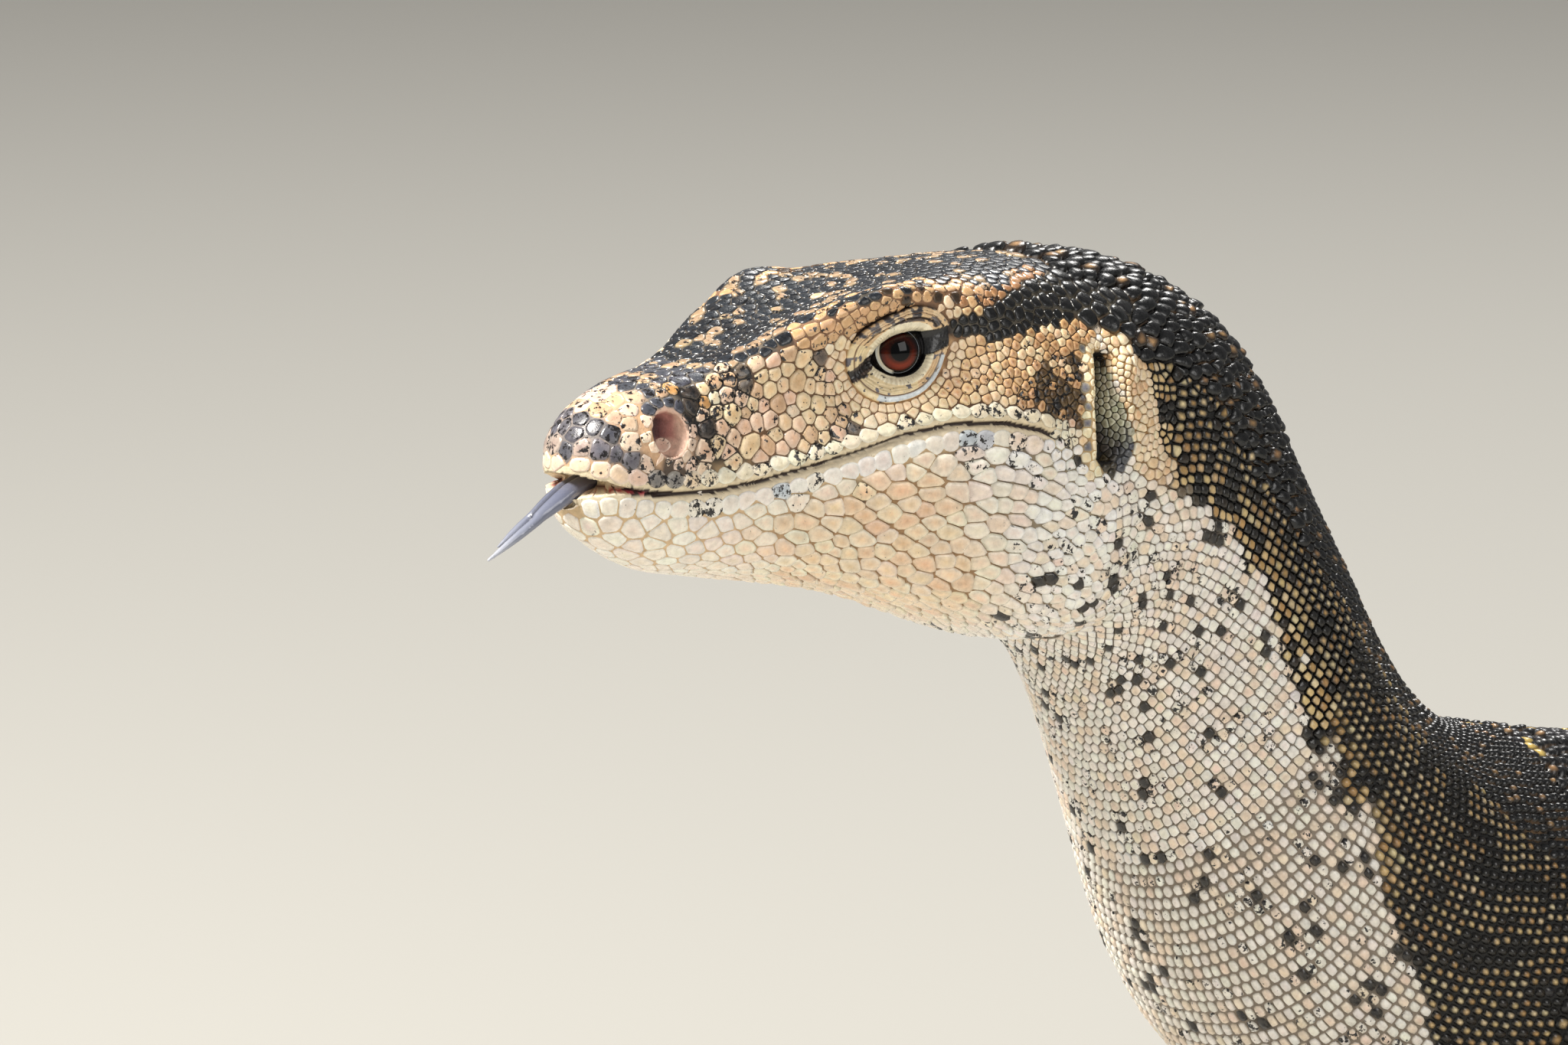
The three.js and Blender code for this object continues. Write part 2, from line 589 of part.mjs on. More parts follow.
function clawStations(toe) {
  const end = toe.at(-1).at;
  const ahead = end.clone().sub(toe.at(-2).at).normalize();
  const from = end.clone().addScaledVector(ahead, -1);
  const point = (share, height, radius) => ({
    at: from.clone().addScaledVector(ahead, share * CLAW.length).setZ(height),
    radius,
  });
  const root = from.z;
  return [
    { at: from, radius: CLAW.base },
    point(0.3, root + CLAW.rise * 0.8, CLAW.base * 0.86),
    point(0.62, root + CLAW.rise * 0.5, CLAW.base * 0.56),
    point(1, CLAW.clear + 0.3, 0.28),
  ];
}

function addLeg(plan, where, side, step) {
  const upper = legStations(plan, plan.upper, side, step);
  const lower = legStations(plan, plan.lower, side, step);
  const { foot } = plan;
  const palm = {
    at: vector(plan.middle + side * foot.out, foot.back + step, foot.up),
    radii: foot.radii,
  };
  const turn = new THREE.Matrix4().makeRotationZ(side * degToRad(foot.heading));
  const ankle = [lower.at(-1), { at: palm.at, radius: lower.at(-1).radius * 0.86 }];
  const toes = plan.fan.map((angle, i) =>
    toeStations(palm, angle + foot.heading, side, plan.lengths[i]),
  );
  const sole = ellipsoid(palm.at.toArray(), palm.radii, turn, 12, 7);
  const whole = union([tube(ankle, 12, 3), sole, ...toes.map((t) => tube(t, TOE.around, TOE.rings))]);
  const shank = tube(lower, LEG_AROUND, 7, GAP);
  const claws = toes.map((toe) =>
    tube(clawStations(toe), CLAW.around, CLAW.rings).subtract(tube(toe, TOE.around, TOE.rings, GAP)),
  );

  const thigh = tube(upper, LEG_AROUND, 8).subtract(trunk);
  addNode(`${plan.joints[0]}_${where}`, thigh.subtract(shank), SKIN_DARK);
  addNode(`${plan.joints[1]}_${where}`, tube(lower, LEG_AROUND, 7), SKIN_DARK);
  const shod = cutAll(whole, [shank, floorCut, trunk]);
  addNode(`${plan.joints[2]}_${where}`, shod, SKIN_DARK);
  claws.forEach((claw, i) => addNode(`claw_${plan.joints[2]}_${where}_${DIGITS[i]}`, claw, CLAW_BLACK, 0.3));
}

addHead();
addBody();
addLeg(FORE, "left", 1, STEPS.fore.left);
addLeg(FORE, "right", -1, STEPS.fore.right);
addLeg(HIND, "left", 1, STEPS.hind.left);
addLeg(HIND, "right", -1, STEPS.hind.right);

// The model stands with the middle of its box over the origin and its soles at height zero.
const box = new THREE.Box3().setFromObject(model);
const middle = box.getCenter(vector());
model.position.set(-middle.x, -middle.y, -box.min.z);
model.updateMatrixWorld(true);

export default model;
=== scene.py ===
# %% [markdown]
# # A water monitor lizard, dressed as a still museum model
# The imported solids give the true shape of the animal. Over them this lesson lays one skin, the scales that
# stand on it, the lids, the eyes, the tongue and the claws. Every length in the lesson is in millimetres from
# the tip of the snout, because a modeller measures an animal from its nose: to its left, back along the head
# and up. Only the last step of each piece turns them into metres in the frame.

import math

import bmesh
import bpy
import numpy as np
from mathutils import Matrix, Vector, noise
from mathutils.bvhtree import BVHTree
from mathutils.kdtree import KDTree


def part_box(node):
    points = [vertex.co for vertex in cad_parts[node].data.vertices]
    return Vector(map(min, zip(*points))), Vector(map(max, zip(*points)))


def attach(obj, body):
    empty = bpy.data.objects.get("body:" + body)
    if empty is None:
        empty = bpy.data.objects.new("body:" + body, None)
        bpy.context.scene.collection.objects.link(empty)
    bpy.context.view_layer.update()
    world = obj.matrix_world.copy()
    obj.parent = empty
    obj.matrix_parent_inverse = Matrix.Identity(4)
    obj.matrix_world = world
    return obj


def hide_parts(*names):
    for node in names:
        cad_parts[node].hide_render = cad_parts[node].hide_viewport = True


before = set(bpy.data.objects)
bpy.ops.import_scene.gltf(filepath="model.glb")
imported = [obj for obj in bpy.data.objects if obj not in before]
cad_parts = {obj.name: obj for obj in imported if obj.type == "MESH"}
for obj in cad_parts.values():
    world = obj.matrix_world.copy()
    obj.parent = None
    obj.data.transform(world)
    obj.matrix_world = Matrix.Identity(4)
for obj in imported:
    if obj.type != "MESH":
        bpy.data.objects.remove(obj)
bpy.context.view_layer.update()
MM = 0.001
EYE_CENTRE = np.array([12.2, 74.9, 14.1])
eye_low, eye_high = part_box("eye_left")
SNOUT = np.array((eye_low + eye_high) / 2) - EYE_CENTRE * MM


def from_frame(metres):
    return (np.asarray(metres) - SNOUT) / MM


def to_frame(millimetres):
    return np.asarray(millimetres) * MM + SNOUT


def unit(vectors):
    vectors = np.asarray(vectors, float)
    return vectors / np.maximum(np.linalg.norm(vectors, axis=-1, keepdims=True), 1e-9)


print("snout at", SNOUT.round(4), "nodes", len(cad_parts))

# %% [markdown]
# ## Camera, floor and light
# The head is seen from in front of its left shoulder, a little above its eye, through a long lens that hardly
# draws the near side larger. Over a pale floor a lamp high in front shows the form and gives the wet scales
# their highlights, a large soft one fills the shadows, and one from behind draws the edge.

# %% Camera
def linked(name, data):
    """A new object in the scene."""
    made = bpy.data.objects.new(name, data)
    bpy.context.scene.collection.objects.link(made)
    return made


AZIMUTH, ELEVATION = math.radians(46), math.radians(8.5)
CAMERA_DISTANCE = 3.0
WIDTH_IN_VIEW = 0.2826
AIM_RIGHT, AIM_UP = 43.1, -11.1
camera_back = Vector((
    math.sin(AZIMUTH) * math.cos(ELEVATION),
    -math.cos(AZIMUTH) * math.cos(ELEVATION),
    math.sin(ELEVATION),
))
camera_turn = camera_back.to_track_quat("Z", "Y")
aim = camera_turn @ Vector((AIM_RIGHT, AIM_UP, 0)) * MM + Vector(SNOUT)
lens = bpy.data.cameras.new("camera")
lens.sensor_width = 36
lens.lens = lens.sensor_width * CAMERA_DISTANCE / WIDTH_IN_VIEW
lens.clip_end = 60
camera = linked("camera", lens)
camera.rotation_euler = camera_turn.to_euler()
camera.location = aim + camera_back * CAMERA_DISTANCE
bpy.context.scene.camera = camera
bpy.context.scene.view_settings.view_transform = "Standard"
print("lens", round(lens.lens), "mm")


# %% Materials: sRGB colours and nodes
def linear(code):
    parts = np.array([int(code[i : i + 2], 16) / 255 for i in (1, 3, 5)])
    return np.where(parts <= 0.04045, parts / 12.92, ((parts + 0.055) / 1.055) ** 2.4)


def feed(node, **links):
    """Gives a node's sockets a number or a tuple, another's socket, or another node's first live output."""
    for key, value in links.items():
        socket = node.inputs[int(key[1:])] if key[1:].isdigit() else node.inputs[key.replace("_", " ")]
        if isinstance(value, bpy.types.Node):
            value = next(out for out in value.outputs if out.enabled)
        if isinstance(value, bpy.types.NodeSocket):
            node.id_data.links.new(value, socket)
        else:
            socket.default_value = value
    return node


def material(name, **surface):
    made = bpy.data.materials.new(name)
    made.use_nodes = True
    return made, feed(made.node_tree.nodes["Principled BSDF"], **surface)


def add(tree, kind, settings=None, **links):
    """A node of a kind with its settings and what its sockets take."""
    node = tree.nodes.new("ShaderNode" + kind)
    for key, value in (settings or {}).items():
        setattr(node, key, value)
    return feed(node, **links)


# %% Floor and lamps
def from_bmesh(name, bm):
    mesh = bpy.data.meshes.new(name)
    bm.to_mesh(mesh)
    bm.free()
    return linked(name, mesh)


FLOOR_HALF, FLOOR_DEPTH = 8, 0.0005
sheet = bmesh.new()
bmesh.ops.create_grid(sheet, x_segments=1, y_segments=1, size=FLOOR_HALF)
floor = from_bmesh("floor", sheet)
floor.location.z = -FLOOR_DEPTH
floor_paint, _ = material("matt_painted_studio_floor", Base_Color=(*linear("#B4B3AE"), 1), Roughness=0.9)
floor.data.materials.append(floor_paint)


def lamp(name, from_snout, size, watts, tint):
    at = Vector(SNOUT) + Vector(from_snout)
    light = bpy.data.lights.new(name, "AREA")
    light.size, light.energy, light.color = size, watts, tint
    made = linked(name, light)
    made.location = at
    made.rotation_euler = (at - Vector(SNOUT)).to_track_quat("Z", "Y").to_euler()


WARM, WHITE = (1.0, 0.955, 0.88), (1.0, 0.98, 0.95)
lamp("key", (-0.5, -1.3, 1.9), 0.6, 116, WARM)
lamp("fill", (2.2, 0.1, 0.9), 1.4, 19, WHITE)
lamp("rim", (-0.9, 1.6, 1.5), 0.6, 18, WHITE)
studio = bpy.data.worlds.new("studio")
studio.use_nodes = True
background = studio.node_tree.nodes["Background"].inputs
background["Color"].default_value = (*linear("#EAE8E6"), 1)
background["Strength"].default_value = 0.26
bpy.context.scene.world = studio

# %% [markdown]
# ## The skin
# On the real animal one skin runs from the lips to the tip of the tail. The solids are parted where a person
# would name the parts, so their copies are swollen by the width of the gap, joined and wrapped again in
# voxels, which closes every seam. Voxels are coarse, so the head is divided once more and drawn back onto the
# solids. The rims of its openings are divided again, and the mouth and the line of the lips once more after
# that. Smoothing then takes out the flats between the solids' sections.

# %% Wrap the parts of flesh in one closed surface
HARD = ("eye", "claw", "tongue")
FLESH = sorted(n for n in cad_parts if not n.startswith(HARD))
HEAD_NODES = ["head", "lower_jaw"]
TRUNK_NODES = [n for n in FLESH if n.startswith(("neck", "chest", "belly", "pelvis", "tail"))]
LIMB_NODES = [n for n in FLESH if n not in HEAD_NODES + TRUNK_NODES]
SWELL = 0.25
VOXEL = 2.9


def merged_copy(nodes, swell=0.0):
    """A copy of solids, each swollen by a number of millimetres."""
    whole = bmesh.new()
    for name in nodes:
        part = bmesh.new()
        part.from_mesh(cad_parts[name].data)
        bmesh.ops.remove_doubles(part, verts=part.verts, dist=1e-6)
        bmesh.ops.recalc_face_normals(part, faces=part.faces)
        for vert in part.verts:
            vert.co += vert.normal * swell * MM
        shell = bpy.data.meshes.new("part")
        part.to_mesh(shell)
        whole.from_mesh(shell)
        bpy.data.meshes.remove(shell)
        part.free()
    return whole


def surface_of(nodes):
    whole = merged_copy(nodes)
    whole.verts.index_update()
    corners = [tuple(from_frame(v.co)) for v in whole.verts]
    tree = BVHTree.FromPolygons(corners, [[v.index for v in f.verts] for f in whole.faces])
    whole.free()
    return tree


wrapped = bpy.data.meshes.new("wrapped")
swollen = merged_copy(FLESH, SWELL)
MOUTH_PLUG = {"centre": (0, 11.2, -4.6), "radii": (8.4, 7.9, 3.4)}
plug = bmesh.ops.create_uvsphere(swollen, u_segments=24, v_segments=16, radius=1)["verts"]
for vert in plug:
    vert.co = to_frame(np.array(vert.co) * MOUTH_PLUG["radii"] + MOUTH_PLUG["centre"])
swollen.to_mesh(wrapped)
swollen.free()
skin = linked("skin", wrapped)


def in_voxels(piece, size):
    step = piece.modifiers.new("voxels", "REMESH")
    step.mode, step.voxel_size = "VOXEL", size * MM


def apply_modifiers(piece):
    shaped = piece.evaluated_get(bpy.context.evaluated_depsgraph_get())
    piece.data = bpy.data.meshes.new_from_object(shaped)
    piece.modifiers.clear()


in_voxels(skin, VOXEL)
apply_modifiers(skin)
print("wrapped in", len(skin.data.polygons), "faces")


# %% Lines of the head that the skin, the scales and the markings follow, as (back, up)
LIPS_SHUT = [(22, -7.0), (30, -7.2), (39, -6.3), (48, -4.8), (59, -2.7), (70, 0.0), (80, 1.3), (91, 0.5),
             (99, -1.5), (104.5, -4.2)]
UPPER_LIP = [(-6, -1.6), (2.4, -2.7), (5.4, -3.5), (8.6, -4.5), (13, -5.6), (18, -6.6), *LIPS_SHUT]
LOWER_LIP = [(-6, -9.5), (3, -8.2), (4.8, -6.7), (7.4, -5.9), (12, -6.1), (17, -6.8), *LIPS_SHUT]
FOLD_LINE = [(121, 17), (122.5, 5), (123.5, -6), (130, -17), (149, -28), (159, -46), (168, -66), (180, -90)]
NOSTRIL, NOSTRIL_RADII = np.array([12.6, 20.4, 4.2]), np.array([3.2, 3.4, 4.1])
EAR, EAR_RADII = np.array([31, 115.6, 2.5]), np.array([6.4, 4.4, 11.5])


def mirrored(points):
    """Places as if all were on the animal's left."""
    points = np.array(points, float)
    points[:, 0] = abs(points[:, 0])
    return points


def beside(points, line):
    """How far points lie from a line of (back, up), above it positive, and how far along it they lie."""
    flat = np.asarray(points)[:, 1:3]
    corners = np.array(line, float)
    nearest = np.full(len(flat), np.inf)
    signed, along = np.zeros(len(flat)), np.zeros(len(flat))
    run = 0.0
    for start, end in zip(corners[:-1], corners[1:]):
        step = end - start
        length = np.hypot(*step)
        share = np.clip((flat - start) @ step / length**2, 0, 1)
        away = flat - start - share[:, None] * step
        gap = np.hypot(*away.T)
        closer = gap < nearest
        nearest = np.where(closer, gap, nearest)
        side = np.sign(step[0] * away[:, 1] - step[1] * away[:, 0])
        signed = np.where(closer, side * gap, signed)
        along = np.where(closer, run + share * length, along)
        run += length
    return signed, along


def within(value, low, high):
    return (value > low) & (value < high)


def bell(offset, width):
    return np.exp(-((offset / width) ** 2))


def ease(value, start, end):
    share = np.clip((value - start) / (end - start), 0, 1)
    return share * share * (3 - 2 * share)


def read_off(line, first):
    """The second number of a line of pairs, where its first number has given values."""
    return np.interp(first, *np.array(line).T)


def beside_lips(points):
    """How far points lie above the upper lip, or as a negative number below the lower one."""
    above, under = beside(points, UPPER_LIP)[0], beside(points, LOWER_LIP)[0]
    return np.where(above > 0, above, np.minimum(under, 0))


def mouth_gap(points):
    """How far up the open mouth a place is, 0 at the lower lip and 1 at the upper, and the mouth's height."""
    upper, lower = (read_off(line, points[:, 1]) for line in (UPPER_LIP, LOWER_LIP))
    return (points[:, 2] - lower) / np.maximum(upper - lower, 0.05), upper - lower


def from_pit(points, centre, radii):
    """1 on the rim of a pit seen from the animal's side, less inside it."""
    away = (mirrored(points) - centre) / radii
    return np.where(abs(away[:, 0]) < 2.5, np.hypot(away[:, 1], away[:, 2]), 9.0)


# %% Divide the head, and its openings more finely
def mesh_arrays(mesh):
    places = np.empty(len(mesh.vertices) * 3)
    mesh.vertices.foreach_get("co", places)
    edges = np.empty(len(mesh.edges) * 2, int)
    mesh.edges.foreach_get("vertices", edges)
    return from_frame(places.reshape(-1, 3)), edges.reshape(-1, 2)


def divide(mesh, wanted):
    """Halves the edges that lie in the wanted places."""
    bm = bmesh.new()
    bm.from_mesh(mesh)
    near = wanted(from_frame(np.array([v.co for v in bm.verts])))
    bm.verts.ensure_lookup_table()
    edges = [e for e in bm.edges if near[e.verts[0].index] and near[e.verts[1].index]]
    bmesh.ops.subdivide_edges(bm, edges=edges, cuts=1, use_grid_fill=True)
    bmesh.ops.triangulate(bm, faces=[f for f in bm.faces if len(f.verts) > 4])
    bm.to_mesh(mesh)
    bm.free()


HEAD_BACK, HEAD_LOW = 128, -62


def on_head(points):
    return (points[:, 1] < HEAD_BACK) & (points[:, 2] > HEAD_LOW)


def on_rims(points):
    lips = (abs(beside_lips(points)) < 3.6) & (points[:, 1] < 107)
    nose = from_pit(points, NOSTRIL, NOSTRIL_RADII) < 1.6
    ear = from_pit(points, EAR, EAR_RADII) < 1.5
    return on_head(points) & (lips | nose | ear)


def on_mouth(points):
    share_up, height = mouth_gap(points)
    return (points[:, 1] < 16) & (height > 0.3) & within(share_up, -0.7, 1.7)


def on_lip_line(points):
    return on_head(points) & (abs(beside_lips(points)) < 1.3) & within(points[:, 1], 14, 105)


for wanted in (on_head, on_rims, on_mouth, on_lip_line):
    divide(skin.data, wanted)
places, edges = mesh_arrays(skin.data)
skin.data.calc_loop_triangles()
print("skin", len(places), "points", len(skin.data.loop_triangles), "triangles")

# %% Draw the head back onto its solids and smooth the rest
head_solid, trunk_solid, limb_solid = (surface_of(nodes) for nodes in (HEAD_NODES, TRUNK_NODES, LIMB_NODES))


def pulled_onto(tree, points, chosen):
    moved = points.copy()
    for i in np.flatnonzero(chosen):
        moved[i] = tree.find_nearest(points[i])[0]
    return moved


SMOOTH_STEP, SWELL_STEP = 0.5, -0.52


def smoothed(points, links, weight, rounds):
    """Smooths and swells by turns, so that what is thin doesn't shrink."""
    count = np.bincount(links.ravel(), minlength=len(points))[:, None]
    for turn in range(2 * rounds):
        total = np.empty_like(points)
        for axis in range(3):
            total[:, axis] = np.bincount(links[:, 0], points[links[:, 1], axis], len(points))
            total[:, axis] += np.bincount(links[:, 1], points[links[:, 0], axis], len(points))
        step = SMOOTH_STEP if turn % 2 == 0 else SWELL_STEP
        points = points + step * weight[:, None] * (total / count - points)
    return points


def openings(points):
    """1 at the lips and the rims of the nostrils, ears and eyes, 0 away from them."""
    lips = bell(beside_lips(points), 3) * (points[:, 1] < 108)
    nose = bell(from_pit(points, NOSTRIL, NOSTRIL_RADII) - 1, 0.5)
    ear = bell(from_pit(points, EAR, EAR_RADII) - 1, 0.4)
    eye = bell(np.linalg.norm(mirrored(points) - EYE_CENTRE, axis=1) - 9, 3)
    return on_head(points) * np.maximum.reduce([lips, nose, ear, eye])


BODY_ROUNDS, HEAD_ROUNDS = 30, 4
near_head = on_head(places)
body_weight = 1 - ease(HEAD_BACK - places[:, 1], 0, 10) * near_head
share_up, gap_height = mouth_gap(places)
in_gap = (gap_height > 0.4) & within(share_up, 0, 1)
places = pulled_onto(head_solid, places, near_head & (places[:, 1] < 126) & ~in_gap)
near_fold = 0.65 * bell(beside(places, FOLD_LINE)[0], 9) * (places[:, 1] < 200)
places = smoothed(places, edges, body_weight * (1 - near_fold), BODY_ROUNDS)
places = smoothed(places, edges, 1 - 0.75 * openings(places), HEAD_ROUNDS)
print("smoothed")

# %% The frame of the eye and the outline of its lids, as (back, up) round the gaze
EYE_LOOK = unit(np.array([1, -0.5, 0.06]))
EYE_BACK = unit(np.array([0, 1, 0]) - EYE_LOOK * EYE_LOOK[1])
EYE_UP = np.array([0, 0, 1]) - EYE_LOOK * EYE_LOOK[2]
EYE_UP = unit(EYE_UP - EYE_BACK * (EYE_UP @ EYE_BACK))
ALMOND = [(-5.1, -0.9), (-4.2, 1.1), (-2.3, 2.6), (0.0, 3.4), (2.6, 3.7), (4.6, 3.2), (5.3, 1.2), (4.9, -1.2),
          (3.2, -3.3), (1.0, -4.1), (-1.5, -4.0), (-3.6, -3.0), (-4.7, -2.0)]
FRONT_CORNER = [(-10.5, -3.6), (-7.0, -2.3), (-4.5, -1.0)]
BACK_CORNER_LOW = [(3.0, -1.2), (4.7, -0.9), (6.8, -0.6), (9.8, 0.4), (12, 1.2)]
BACK_CORNER_TOP = [(3.0, 3.5), (4.7, 3.6), (7.4, 3.75), (12, 4.6)]
LID_EDGE = [(-11.4, 0.6), (-9.6, 3.9), (-6.2, 6.0), (-2.7, 7.3), (1.0, 8.2), (4.0, 8.6), (8.0, 7.6),
            (10.6, 4.8), (10.7, 1.6), (9.6, -1.0), (7.7, -4.3), (4.5, -7.1), (0.6, -8.5), (-4.6, -8.7),
            (-8.8, -6.6), (-11.0, -3.2)]
EAR_SLIT = [(-9, 113.2), (0, 113.4), (6, 113.9), (12, 115.4)]


def smooth_between(before, start, end, after, steps):
    """Places from one point to the next on a smooth line through four."""
    t = np.linspace(0, 1, steps, endpoint=False)[:, None]
    bend = 2 * before - 5 * start + 4 * end - after
    twist = 3 * start - before - 3 * end + after
    return 0.5 * (2 * start + (end - before) * t + bend * t**2 + twist * t**3)


def closed_curve(points, steps=40):
    """A smooth closed line through points."""
    fours = zip(*(np.roll(np.array(points, float), -k, axis=0) for k in (-1, 0, 1, 2)))
    return np.vstack([smooth_between(*four, steps) for four in fours])


def reach_at(curve, angle):
    """How far a closed curve lies from the gaze at an angle round it."""
    line = closed_curve(curve)
    turn = np.arctan2(line[:, 1], line[:, 0])
    order = np.argsort(turn)
    return np.interp(angle, turn[order], np.hypot(*line[order].T), period=2 * math.pi)


def eye_view(points):
    """Places seen along the eye's gaze: back, up and out."""
    away = mirrored(points) - EYE_CENTRE
    return np.stack([away @ EYE_BACK, away @ EYE_UP, away @ EYE_LOOK], -1)


def past_ear_slit(points):
    """How far behind the slit of the ear points lie."""
    return points[:, 1] - read_off(EAR_SLIT, points[:, 2])


def from_lids(points):
    """1 at the outer edge of the lids, less within it."""
    seen = eye_view(points)
    reach = reach_at(LID_EDGE, np.arctan2(seen[:, 1], seen[:, 0]))
    return np.where(seen[:, 2] > -2, np.hypot(seen[:, 0], seen[:, 1]) / reach, 9.0)


# %% Sink the skin under its scales and press the line of the lips into it
COAT_DEPTH = {"head": 0.55, "body": 0.8}
LIP_GROOVE = {"depth": 1.2, "width": 0.45}


def surface_normals(points, triangles):
    a, b, c = (points[triangles[:, k]] for k in range(3))
    across = np.cross(b - a, c - a)
    total = np.zeros_like(points)
    for corner in range(3):
        for axis in range(3):
            total[:, axis] += np.bincount(triangles[:, corner], across[:, axis], len(points))
    return unit(total)


skin.data.calc_loop_triangles()
corners = np.empty(len(skin.data.loop_triangles) * 3, np.int32)
skin.data.loop_triangles.foreach_get("vertices", corners)
triangles = corners.reshape(-1, 3)
normals = surface_normals(places, triangles)
headness = (1 - ease(places[:, 1], 118, 134)) * on_head(places)
depth = COAT_DEPTH["body"] + (COAT_DEPTH["head"] - COAT_DEPTH["body"]) * headness
TAIL_TIP = (684, 480, -197.4)
depth *= 0.35 + 0.65 * ease(np.linalg.norm(places - TAIL_TIP, axis=1), 8, 110)
from_lips = beside_lips(places)
share_up, gap_height = mouth_gap(places)
shut = on_head(places) * (1 - ease(gap_height, 0.1, 0.8)) * (1 - ease(places[:, 1], 98, 106))
groove = LIP_GROOVE["depth"] * bell(from_lips, LIP_GROOVE["width"])
roll = 0.4 * bell(from_lips - 1.9, 1.2) + 0.15 * bell(from_lips + 1.9, 1.2)
gape = np.clip(4 * share_up * (1 - share_up), 0, 1) ** 0.4 * on_head(places) * (places[:, 1] < 22)
mouth_pit = np.minimum(2.2 * gap_height, 6.5) * gape
in_nostril = from_pit(places, NOSTRIL, NOSTRIL_RADII)
nose_depth = np.clip(2.6 - 0.9 * (places[:, 1] - NOSTRIL[1]), 0.3, 4.5)
nose_pit = np.clip(1.05 - in_nostril**2, 0, 1) ** 0.7 * nose_depth
nose_pit -= 0.5 * bell(in_nostril - 1.2, 0.16)
lid_pit = 2.4 * (1 - ease(from_lids(places), 0.8, 0.98)) * (from_lids(places) < 2)
in_ear = ease(12.5 - places[:, 2], 0, 3) * ease(places[:, 2] + 9.5, 0, 3) * (mirrored(places)[:, 0] > 15)
in_ear = in_ear * on_head(places)
past_slit = past_ear_slit(places)
ear_slit = 5.0 * bell(past_slit - 0.6, 1.7) * in_ear
ear_rim = (1.3 * bell(past_slit + 2.6, 1.4) + 1.2 * bell(past_slit - 5.2, 1.8)) * in_ear
sunk = depth + shut * (groove - roll) + mouth_pit + nose_pit + lid_pit + ear_slit - ear_rim
places = places - normals * sunk[:, None]
normals = surface_normals(places, triangles)
skin_solid = BVHTree.FromPolygons(places.tolist(), triangles.tolist())
print("skin sunk by", depth.min().round(2), "to", depth.max().round(2), "mm")

# %% Unwrap the skin for baking: the scales will take their places from the same map
skin.data.vertices.foreach_set("co", to_frame(places).ravel())
skin.data.update()
skin.data.shade_smooth()
skin.data.uv_layers.new(name="OFBake")
bpy.context.view_layer.objects.active = skin
skin.select_set(True)
bpy.ops.object.mode_set(mode="EDIT")
bpy.ops.mesh.select_all(action="SELECT")
bpy.ops.uv.smart_project(angle_limit=math.radians(66), island_margin=0.001)
bpy.ops.object.mode_set(mode="OBJECT")
skin.select_set(False)
unwrapped = np.empty(len(skin.data.loops) * 2)
skin.data.uv_layers["OFBake"].uv.foreach_get("vector", unwrapped)
skin.data.calc_loop_triangles()
corner_loops = np.empty(len(skin.data.loop_triangles) * 3, np.int32)
skin.data.loop_triangles.foreach_get("loops", corner_loops)
corner_uv = unwrapped.reshape(-1, 2)[corner_loops].reshape(-1, 3, 2)
print("unwrapped", len(corner_uv), "triangles")

# %% [markdown]
# ## Where the scales stand
# A monitor's scales lie in two ways. On the neck, trunk and tail they stand in rows across the body, each
# row shifted by half a scale. On the head and the limbs they are packed as a crowd of grains packs itself.
# Rows are laid along the spine's sections, and the crowds are scattered and then pushed apart until they are
# even.

# %% The spine, as (left, back, up, lean in degrees, half width, height above, height below)
SPINE = [
    (0, 130, -10, 13, 29, 36, 36), (0, 138.8, -14.2, 21, 28, 36.3, 36.3),
    (0, 146.5, -20.8, 28, 27, 36.7, 36.7), (0, 153.3, -30.3, 34, 27, 36, 36),
    (0, 161.5, -44.8, 39, 28, 35.3, 35.3), (0, 171, -63.5, 42, 30, 35.8, 35.8),
    (0, 183, -86, 40, 33.5, 37.6, 37.6), (-1, 204, -106, 29, 38, 41, 41), (-3, 239, -118, 15, 43, 43, 44),
    (-6, 282, -125, 5, 49, 43, 47), (-13, 350, -134, 0, 56, 44, 46), (-20, 430, -138, 0, 61, 44, 46),
    (-20, 510, -140, 0, 57, 42, 43), (-12, 590, -142, 0, 45, 40, 40), (6, 655, -150, 0, 34, 35, 34),
    (45, 745, -159, 0, 25, 32, 33), (125, 838, -167, 0, 19, 30, 33.3), (235, 893, -172, 0, 14.5, 27, 28.3),
    (355, 898, -176, 0, 11.5, 24, 24.3), (465, 852, -180, 0, 9, 20, 20.3),
    (552, 768, -184.5, 0, 7, 15.5, 15.8), (610, 660, -189, 0, 4.8, 11, 11.3),
    (650, 552, -193.5, 0, 3, 6.4, 6.8), (684, 480, -197.4, 0, 1.3, 2, 2.8),
]
ROUNDNESS = 2.25
SPINE_STEPS = 24
VENT_BACK, LAST_STATION_BEFORE_BEND = 655, 14


def curve_through(stations):
    """A smooth line through stations, sampled finely."""
    rows = np.array(stations, float)
    rows = np.vstack([2 * rows[0] - rows[1], rows, 2 * rows[-1] - rows[-2]])
    fours = zip(rows[:-3], rows[1:-2], rows[2:-1], rows[3:])
    return np.vstack([*(smooth_between(*four, SPINE_STEPS) for four in fours), rows[-2:-1]])


def run_of(line):
    """How far along a line each of its points lies."""
    return np.concatenate([[0], np.cumsum(np.linalg.norm(np.diff(line, axis=0), axis=1))])


def on_line(where, length, line):
    """Places on a line at given lengths along it."""
    return np.array([np.interp(where, length, column) for column in line.T]).T


fine_spine = curve_through(SPINE)
run = run_of(fine_spine[:, :3])
before_bend = slice(0, LAST_STATION_BEFORE_BEND * SPINE_STEPS + 1)
VENT_RUN = np.interp(VENT_BACK, fine_spine[before_bend, 1], run[before_bend])
print("spine", run[-1].round(), "mm, vent at", VENT_RUN.round())

# %% Rows of scales across the neck, trunk and tail
PITCH = {"neck": 2.4, "trunk": 3.4, "tail": 4.2}
ACROSS = {"neck": 2.1, "trunk": 3.3, "tail": 2.7}
NECK_RUN, TAPER_RUN = 150, 450


